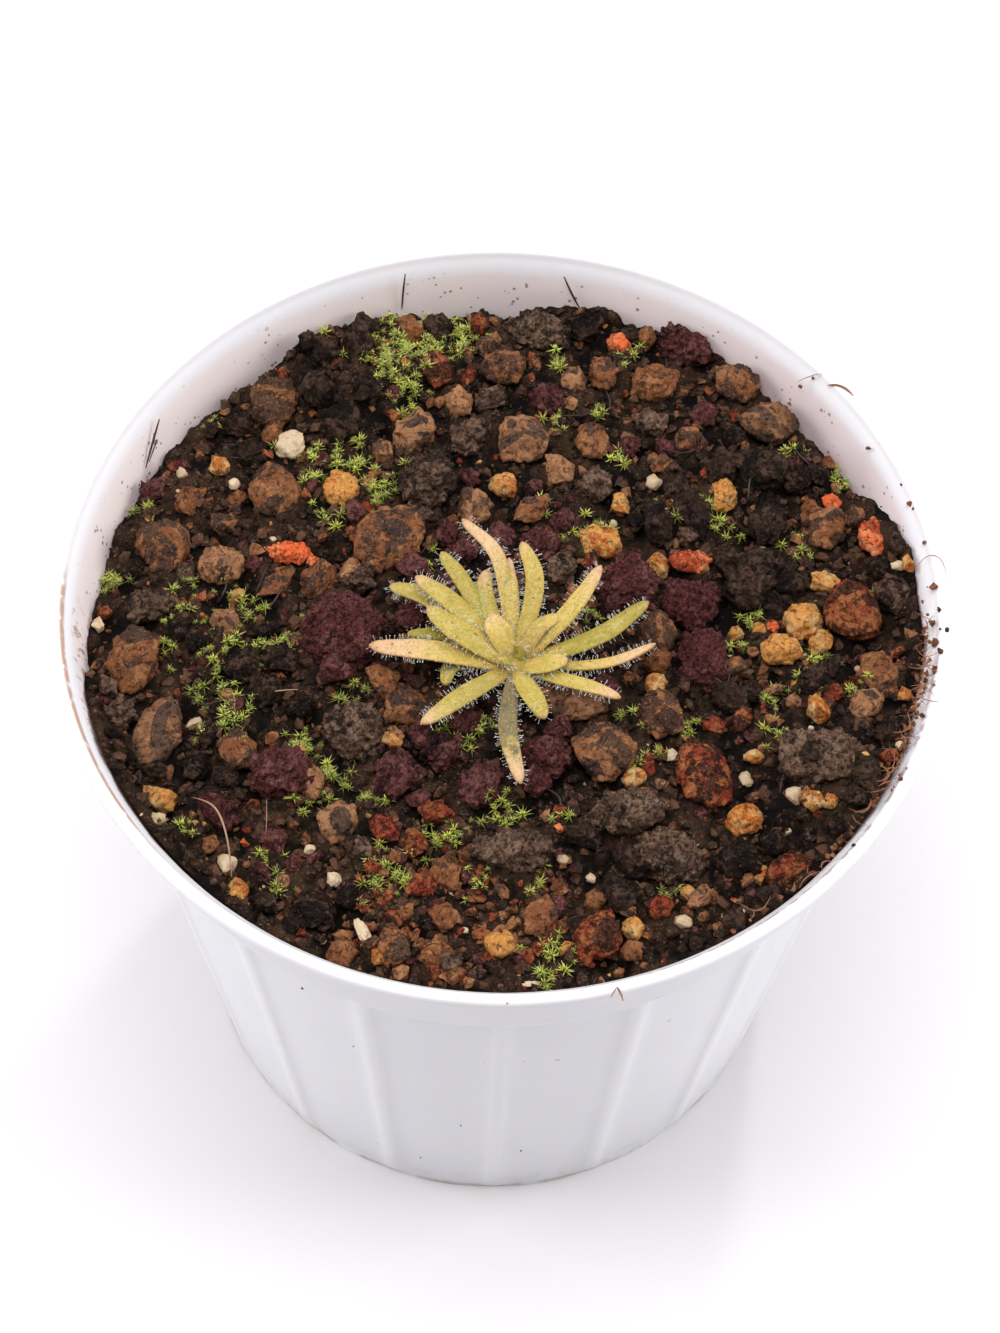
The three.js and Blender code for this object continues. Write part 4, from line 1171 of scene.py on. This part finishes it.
def leaf_model():
    """A straight leaf of unit size: a ring drawn out step by step and closed at both ends.

    Its triangles are put in order, because the hairs are drawn by the number of a triangle.
    """
    nothing_selected()
    bpy.ops.mesh.primitive_circle_add(vertices=14, radius=1.0, fill_type="NGON", location=(0, 0, 0))
    leaf = newest("leaf")
    opened(leaf)
    for _ in range(LEAF_RINGS):
        bpy.ops.mesh.extrude_region_move(TRANSFORM_OT_translate={"value": (0, 0, 1.0 / LEAF_RINGS)})
    bpy.ops.mesh.select_all(action="SELECT")
    bpy.ops.mesh.normals_make_consistent(inside=False)
    return in_order(shape_of(leaf))


def leaf_taper(share):
    """Width along a leaf as a share of its widest: narrow root, widest at two fifths, narrow round tip."""
    stops = [(0.0, 0.64), (0.2, 0.88), (0.4, 1.0), (0.6, 0.96), (0.8, 0.78), (1.0, 0.46)]
    for (u0, w0), (u1, w1) in zip(stops, stops[1:]):
        if share <= u1:
            t = (share - u0) / (u1 - u0)
            return between(w0, w1, t * t * (3 - 2 * t))
    return stops[-1][1]


def bent_leaf(shape, row, rng):
    """The straight leaf bent along its spine, with a shallow channel in its upper face and a round tip."""
    mid, tip, width, green, tanned, dull = row
    root = from_crown(mid[0], min(0.5, mid[1] * 0.3), 0.2)
    points = [root, from_crown(*mid), from_crown(*tip)]
    length = (points[1] - points[0]).length + (points[2] - points[1]).length
    blunt = min(0.32 * width / length, 0.3)
    corners, along, across, upper = [], [], [], []
    sway = rng.uniform(-0.2, 0.2)
    for a, b, u in shape[0]:
        share = u**0.9
        place, ahead = spine_point(points, share)
        side = Vector((ahead.y, -ahead.x, 0)).normalized()
        up = side.cross(ahead.normalized())
        cap = math.sqrt(max(1.0 - (max(share - 1 + blunt, 0) / blunt) ** 2, 0.04))
        reach = a * 0.5 * width * leaf_taper(share) * cap
        channel = 1.0 - 0.40 * max(b, 0.0) * math.sin(math.pi * min(share * 1.05, 1.0))
        through = b * 0.5 * LEAF_THICKNESS * between(1.1, 0.9, share) * cap ** 0.7 * channel
        through += 0.05 * width * a * a * math.sin(math.pi * min(share, 0.9))
        wave = 0.10 * math.sin(7 * share + 9 * sway)
        corners.append(place + side * (reach + wave * share) + up * through)
        along.append(share)
        across.append(abs(a))
        upper.append(b)
    marks = {"along": along, "across": across, "upper": upper, "green": green, "tanned": tanned, "dull": dull}
    return (np.array([list(c) for c in corners]), shape[1][:, ::-1]), marks


def model_rosette():
    rng = random.Random(3)
    straight = leaf_model()
    wanted = []
    for row in LEAVES:
        shape, marks = bent_leaf(straight, row, rng)
        marks = {key: np.asarray(value, float) for key, value in marks.items()}
        wanted.append((shape, np.eye(3) * MM, (0, 0, 0), marks))
    nothing_selected()
    bpy.ops.mesh.primitive_uv_sphere_add(segments=20, ring_count=12, radius=1.5)
    heart = newest("heart")
    opened(heart)
    bpy.ops.transform.resize(value=(1, 1, 0.75), center_override=(0, 0, 0))
    heart = shape_of(heart)
    nothing_selected()
    bpy.ops.mesh.primitive_cone_add(vertices=16, radius1=0.66, radius2=1.1, depth=6.0)
    neck = shape_of(newest("neck"))
    plain = {"along": 0.1, "across": 0.0, "upper": -1.0, "green": 0.6, "tanned": 0.2, "dull": 0.0}
    wanted.append((heart, np.eye(3) * MM, tuple((CROWN + Vector((0, 0, 0.2))) * MM), plain))
    wanted.append((neck, np.eye(3) * MM, tuple((CROWN - Vector((0, 0, 3.0))) * MM), plain))
    rosette = copies("butterwort_rosette", wanted)
    applied(rosette, "SUBSURF", levels=1, render_levels=1)
    return rosette


def values_of(piece, name):
    layer = piece.data.attributes[name].data
    values = np.empty(len(layer), np.float32)
    layer.foreach_get("value", values)
    return values


def model_hairs(rosette):
    """Stalked glands on the leaves' upper faces and edges: a fine stalk with a clear drop on its end."""
    rng = np.random.default_rng(17)
    mesh = rosette.data
    mesh.calc_loop_triangles()
    corner = np.empty(len(mesh.loop_triangles) * 3, int)
    mesh.loop_triangles.foreach_get("vertices", corner)
    corner = corner.reshape(-1, 3)
    place = corners_of(rosette)
    a, b, c = (place[corner[:, k]] for k in range(3))
    facing = np.cross(b - a, c - a)
    area = np.linalg.norm(facing, axis=1)
    facing = facing / np.maximum(area, 1e-12)[:, None]
    upper = values_of(rosette, "upper")[corner].mean(1)
    along = values_of(rosette, "along")[corner].mean(1)
    across = values_of(rosette, "across")[corner].mean(1)
    edge = across > 0.84
    weight = area * (along > 0.12) * np.where(edge, 2.2, 0.40 * (upper > 0.0))
    chosen = rng.choice(len(corner), HAIRS, p=weight / weight.sum())
    u, v = rng.random(HAIRS), rng.random(HAIRS)
    over = u + v > 1
    u[over], v[over] = 1 - u[over], 1 - v[over]
    foot = a[chosen] + (b - a)[chosen] * u[:, None] + (c - a)[chosen] * v[:, None]
    way = facing[chosen] * np.where(edge[chosen, None], (1.0, 1.0, 0.35), (1.0, 1.0, 1.0))
    way = way / np.linalg.norm(way, axis=1)[:, None] + rng.normal(0, 0.2, (HAIRS, 3))
    way /= np.linalg.norm(way, axis=1)[:, None]
    full = np.where(edge[chosen], 1.0, 0.45)
    length = rng.uniform(0.25, 0.62, HAIRS) * full * MM
    keep = (foot + way * length[:, None])[:, 2] < cad_high.z - 0.14 * MM
    nothing_selected()
    bpy.ops.mesh.primitive_cone_add(vertices=3, radius1=0.5, radius2=0.35, depth=1.0, location=(0, 0, 0.5))
    stalk = shape_of(newest("stalk"))
    nothing_selected()
    bpy.ops.mesh.primitive_uv_sphere_add(segments=4, ring_count=2, radius=0.5)
    drop = shape_of(newest("drop"))
    stalks, drops = [], []
    for p, w, l, big in zip(foot[keep], way[keep], length[keep], full[keep]):
        turn = np.array(Vector(w).to_track_quat("Z", "Y").to_matrix())
        stalks.append((stalk, turn @ np.diag((0.042 * MM, 0.042 * MM, l)), p, {}))
        size = rng.uniform(0.075, 0.125) * between(0.45, 1.0, big) * MM
        drops.append((drop, np.eye(3) * size, p + w * l, {}))
    return copies("leaf_hairs", stalks), copies("sticky_drops", drops)


# Fibres and dirt


def strand(name, points, thick, sides=2):
    """A fibre through points in millimetres, tapered at both ends, as a mesh."""
    curve = bpy.data.curves.new(name, "CURVE")
    curve.dimensions = "3D"
    curve.bevel_depth = thick * 0.5 * MM
    curve.bevel_resolution = sides
    curve.resolution_u = 6
    curve.use_fill_caps = True
    line = curve.splines.new("NURBS")
    line.points.add(len(points) - 1)
    line.use_endpoint_u = True
    line.order_u = min(4, len(points))
    for k, (point, place) in enumerate(zip(line.points, points)):
        point.co = (place[0] * MM, place[1] * MM, place[2] * MM, 1)
        share = k / (len(points) - 1)
        point.radius = 0.35 + 0.65 * math.sin(math.pi * share) ** 0.5 if 0 < share < 1 else 0.35
    only(linked(name, curve))
    bpy.ops.object.convert(target="MESH")
    return bpy.context.object


def on_wall(degrees, z, stand=0.25):
    """A place on the pot's inner wall, at a compass direction and a height."""
    return (*around(degrees, inside_radius(z) - stand), z)


def fused(name, parts):
    """The parts joined into one piece of that name."""
    nothing_selected()
    for part in parts:
        part.select_set(True)
    bpy.context.view_layer.objects.active = parts[0]
    bpy.ops.object.join()
    piece = bpy.context.object
    piece.name = name
    return piece


# The long root that arches over the stones at the left front, in millimetres
LONG_ROOT = [
    (-29.9, -21.4, 72.2), (-28.5, -22.6, 73.8), (-27.4, -23.3, 74.0),
    (-26.4, -25.9, 74.0), (-26.0, -28.0, 73.0), (-25.9, -29.5, 71.2),
]


SOIL_FIBRES = 46
LIP_FIBRES = 46
LIP_CRUMBS = 210
# Where the lip's fibres have their middle, and the farthest they reach, in millimetres from the pot's middle
LIP_LINE = 42.6
LIP_EDGE = 44.6


def bowed(x, y, heading, length, bow):
    """Five places along a bowed line on the ground, in millimetres."""
    places = []
    for k in range(5):
        ahead = length * (k / 4 - 0.5)
        aside = bow * length * (k / 4 - 0.5) ** 2 * 4
        px = x + ahead * math.cos(heading) - aside * math.sin(heading)
        places.append((px, y + ahead * math.sin(heading) + aside * math.cos(heading)))
    return places


def model_fibres():
    dark = [
        strand("fibre", [on_wall(104.5, 70.5), on_wall(104.2, 72.5, 0.3), on_wall(103.6, 75.2, 0.4)], 0.32),
        strand("fibre", [on_wall(77.5, 70.5), on_wall(78.8, 72.0, 0.3), on_wall(80.2, 74.4, 0.4)], 0.34),
        strand("fibre", [on_wall(153.0, 70.5), on_wall(150.0, 72.2, 0.3), on_wall(147.5, 74.0, 0.5)], 0.36),
        strand("fibre", [on_wall(152.0, 70.6), on_wall(150.6, 72.0, 0.7), on_wall(150.0, 73.2, 1.2)], 0.2),
    ]
    rng = random.Random(9)
    for _ in range(SOIL_FIBRES):
        x, y = rng.uniform(-34, 34), rng.uniform(-34, 34)
        if math.hypot(x, y) > 38 or math.hypot(x - CROWN.x, y - CROWN.y) < 6:
            continue
        heading, length, bow = rng.uniform(0, 6.28), rng.uniform(1.6, 5.0), rng.uniform(-0.25, 0.25)
        places = bowed(x, y, heading, length, bow)
        points = [(px, py, float(soil_top(px, py)) + rng.uniform(0.5, 1.0)) for px, py in places]
        dark.append(strand("fibre", points, rng.uniform(0.12, 0.26), 1))
    black = fused("dark_fibres", dark)
    finished(black, strand_finish("dark_fibre", (0.012, 0.008, 0.006), (0.045, 0.026, 0.018)))
    tan = [
        strand("root", LONG_ROOT, 0.2),
        strand("root", [(-22.9, -25.2, 70.6), (-22.7, -23.8, 71.6), (-22.8, -21.6, 72.3)], 0.12),
        strand("root", [(-24.4, -9.2, 71.2), (-22.4, -8.9, 71.6), (-20.2, -8.6, 71.2)], 0.2),
    ]
    pale = fused("tan_roots", tan)
    finished(pale, strand_finish("tan_root", (0.24, 0.13, 0.07), (0.42, 0.27, 0.16)))


def outside_speck(degrees, z, size):
    """A speck on the outer wall, at a compass direction and a height."""
    return (*around(degrees, rib_radius(z) - PANEL_DEPTH + 0.02), z, size)


# Specks of dirt that are seen one by one on the pot: place and size
SPECKS = [
    (30.8, 25.7, 73.0, 0.7), (31.9, 27.0, 74.4, 0.6), (33.2, 27.6, 75.0, 0.4), (42.0, 11.3, 75.4, 0.8),
    (42.4, 10.6, 75.4, 0.5), (43.5, 0.8, 75.9, 0.9), (43.4, -6.8, 75.9, 0.7), (43.0, -5.6, 75.6, 1.0),
    (43.0, -3.3, 75.6, 0.8), (44.3, -4.4, 76.1, 0.5), (42.7, -8.8, 75.6, 0.9), (43.7, -2.0, 76.0, 0.5),
    (43.0, 6.3, 75.6, 0.5), (41.4, 13.7, 75.2, 0.5), (38.4, 18.6, 74.9, 0.5), outside_speck(-120, 56, 0.30),
    outside_speck(-113, 44, 0.22), outside_speck(-96, 24, 0.24), outside_speck(-104, 8, 0.22),
    outside_speck(-85, 14, 0.24), outside_speck(-72, 52, 0.2),
]
# Fibres that are seen one by one on the lip: points and thickness
SINGLE_FIBRES = [
    ([(34.6, 26.1, 75.7), (35.6, 26.1, 76.15), (36.5, 25.5, 76.2), (37.1, 24.5, 76.1)], 0.34),
    ([(10.0, -42.4, 75.4), (10.4, -43.3, 76.1), (10.7, -44.0, 76.2), (10.8, -44.6, 76.1)], 0.26),
    ([(10.3, -43.2, 76.1), (9.9, -43.8, 76.15), (9.7, -44.3, 76.15)], 0.16),
    ([(41.6, 3.0, 75.0), (42.8, 4.6, 75.9), (44.2, 4.7, 76.15), (44.8, 3.4, 76.1), (44.8, 1.6, 76.1)], 0.09),
    ([(31.6, 27.0, 75.2), (33.0, 27.6, 75.6), (34.0, 27.4, 76.0)], 0.16),
]


def dirt_crumb(rng, models, size, place):
    """One dark crumb of dirt, turned at random."""
    model, turn = rng.choice(models), turned(rng, size * MM, 0.7)
    return model, turn, np.array(place) * MM, {"shade": rng.random() * 0.8, "spot": -1.0}


def model_lip_dirt(models, brown):
    """Crumbs and reddish fibres that spill over the lip at the right and along the front."""
    rng = random.Random(33)
    crumbs, hairs = [], []
    for _ in range(LIP_CRUMBS):
        degrees = rng.choice((rng.gauss(-22, 9), rng.gauss(-22, 9), rng.uniform(-64, -6)))
        out = rng.uniform(42.0, 43.0) if rng.random() < 0.93 else rng.uniform(43.0, 43.9)
        size = between(0.15, 0.65, rng.random() ** 2)
        z = between(74.8, 75.95, (out - 42.0) / 1.9)
        crumbs.append(dirt_crumb(rng, models, size, (*around(degrees, out), z + size * 0.1)))
    crumbs += [dirt_crumb(rng, models, size, place) for *place, size in SPECKS]
    finished(copies("lip_crumbs", crumbs), brown, rounded=False)
    for _ in range(LIP_FIBRES):
        degrees = rng.gauss(-19, 7) if rng.random() < 0.75 else rng.uniform(-62, -4)
        heading = math.radians(degrees) + rng.gauss(1.4, 0.8)
        length, bow = rng.uniform(1.0, 3.2), rng.uniform(-0.5, 0.5)
        points = []
        for x, y in bowed(*around(degrees, LIP_LINE), heading, length, bow):
            out = math.hypot(x, y)
            if out > LIP_EDGE:
                x, y = x * LIP_EDGE / out, y * LIP_EDGE / out
            points.append((x, y, between(75.4, 76.15, min(max(out - 42.2, 0) / 1.4, 1))))
        hairs.append(strand("fibre", points, rng.uniform(0.07, 0.15), 1))
    hairs += [strand("fibre", points, thick, 1) for points, thick in SINGLE_FIBRES]
    lip = fused("lip_fibres", hairs)
    finished(lip, strand_finish("rusty_fibre", (0.16, 0.060, 0.028), (0.36, 0.16, 0.075)))


# Camera and light

# The photograph's height and the focal length of its lens in its pixels, and the sensor's width
# in millimetres
PHOTO_HEIGHT = 1333
FOCAL_LENGTH = 2724.4
SENSOR_WIDTH = 36
# How far the camera stands from the middle of the lip, and how far below the lip it aims, in millimetres
CAMERA_DISTANCE = 272.26
AIM_DROP = 14.43


def photo_camera():
    """The photograph's view: above the front of the pot, looking down at the crown."""
    rise, turn, roll = math.radians(57.07), math.radians(-2.0), math.radians(1.88)
    out = Vector((math.sin(turn) * math.cos(rise), -math.cos(turn) * math.cos(rise), math.sin(rise)))
    place = Vector((0, 0, POT_HEIGHT)) + out * CAMERA_DISTANCE
    aim = Vector((0.15, 0, POT_HEIGHT - AIM_DROP))
    back = (place - aim).normalized()
    right = Vector((0, 0, 1)).cross(back).normalized()
    up = back.cross(right)
    tilted_right = right * math.cos(roll) + up * math.sin(roll)
    tilted_up = up * math.cos(roll) - right * math.sin(roll)
    camera = linked("photo_camera", bpy.data.cameras.new("photo_camera"))
    view = Matrix((tilted_right, tilted_up, back)).transposed().to_4x4()
    camera.matrix_world = Matrix.Translation([value * MM for value in place]) @ view
    camera.data.sensor_fit = "AUTO"
    camera.data.sensor_width = SENSOR_WIDTH
    camera.data.lens = FOCAL_LENGTH * SENSOR_WIDTH / PHOTO_HEIGHT
    camera.data.clip_start = 0.01
    bpy.context.scene.camera = camera


def soft_light(name, place, aim, size, power):
    light = bpy.data.lights.new(name, "AREA")
    light.shape = "DISK"
    light.size = size
    light.energy = power
    lamp = linked(name, light)
    lamp.location = place
    lamp.rotation_mode = "QUATERNION"
    lamp.rotation_quaternion = (Vector(aim) - Vector(place)).to_track_quat("-Z", "Y")


def studio():
    nothing_selected()
    bpy.ops.mesh.primitive_plane_add(size=6.0)
    table = newest("table_top")
    table.data.materials.append(table_finish())
    soft_light("top_light", (-0.04, -0.04, 0.72), (0, 0, 0.07), 0.5, 4.15)
    soft_light("left_light", (-0.60, 0.05, 0.33), (0, 0, 0.04), 0.4, 2.25)
    soft_light("right_light", (0.60, 0.05, 0.33), (0, 0, 0.04), 0.4, 2.5)
    soft_light("glint_light", (0.15, 0.35, 0.55), (0, 0, 0.07), 0.06, 0.6)
    world = bpy.data.worlds.new("studio")
    world.use_nodes = True
    world.node_tree.nodes["Background"].inputs[0].default_value = (1.0, 0.98, 1.0, 1)
    world.node_tree.nodes["Background"].inputs[1].default_value = 0.27
    bpy.context.scene.world = world
    bpy.context.scene.view_settings.view_transform = "Standard"
    bpy.context.scene.view_settings.look = "None"


photo_camera()
pot = finished(model_pot(), plastic_finish())
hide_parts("pot")
soil = finished(model_soil(), soil_finish())
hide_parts("soil_mix")
gravel = {name: gravel_finish(name) for name in GRAVEL}
gravel["pale"] = pale_finish()
model_gravel(gravel)
ellipses = stone_ellipses()
model_pebbles(gravel)
crumb_shapes = crumb_models()
brown_grit = gravel_finish("brown", True)
model_grit(crumb_shapes, ellipses, brown_grit)
model_moss(ellipses)
rosette = finished(model_rosette(), leaf_finish())
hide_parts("rosette")
hairs, drops = model_hairs(rosette)
finished(hairs, hair_finish())
finished(drops, drop_finish())
model_fibres()
model_lip_dirt(crumb_shapes, brown_grit)
studio()
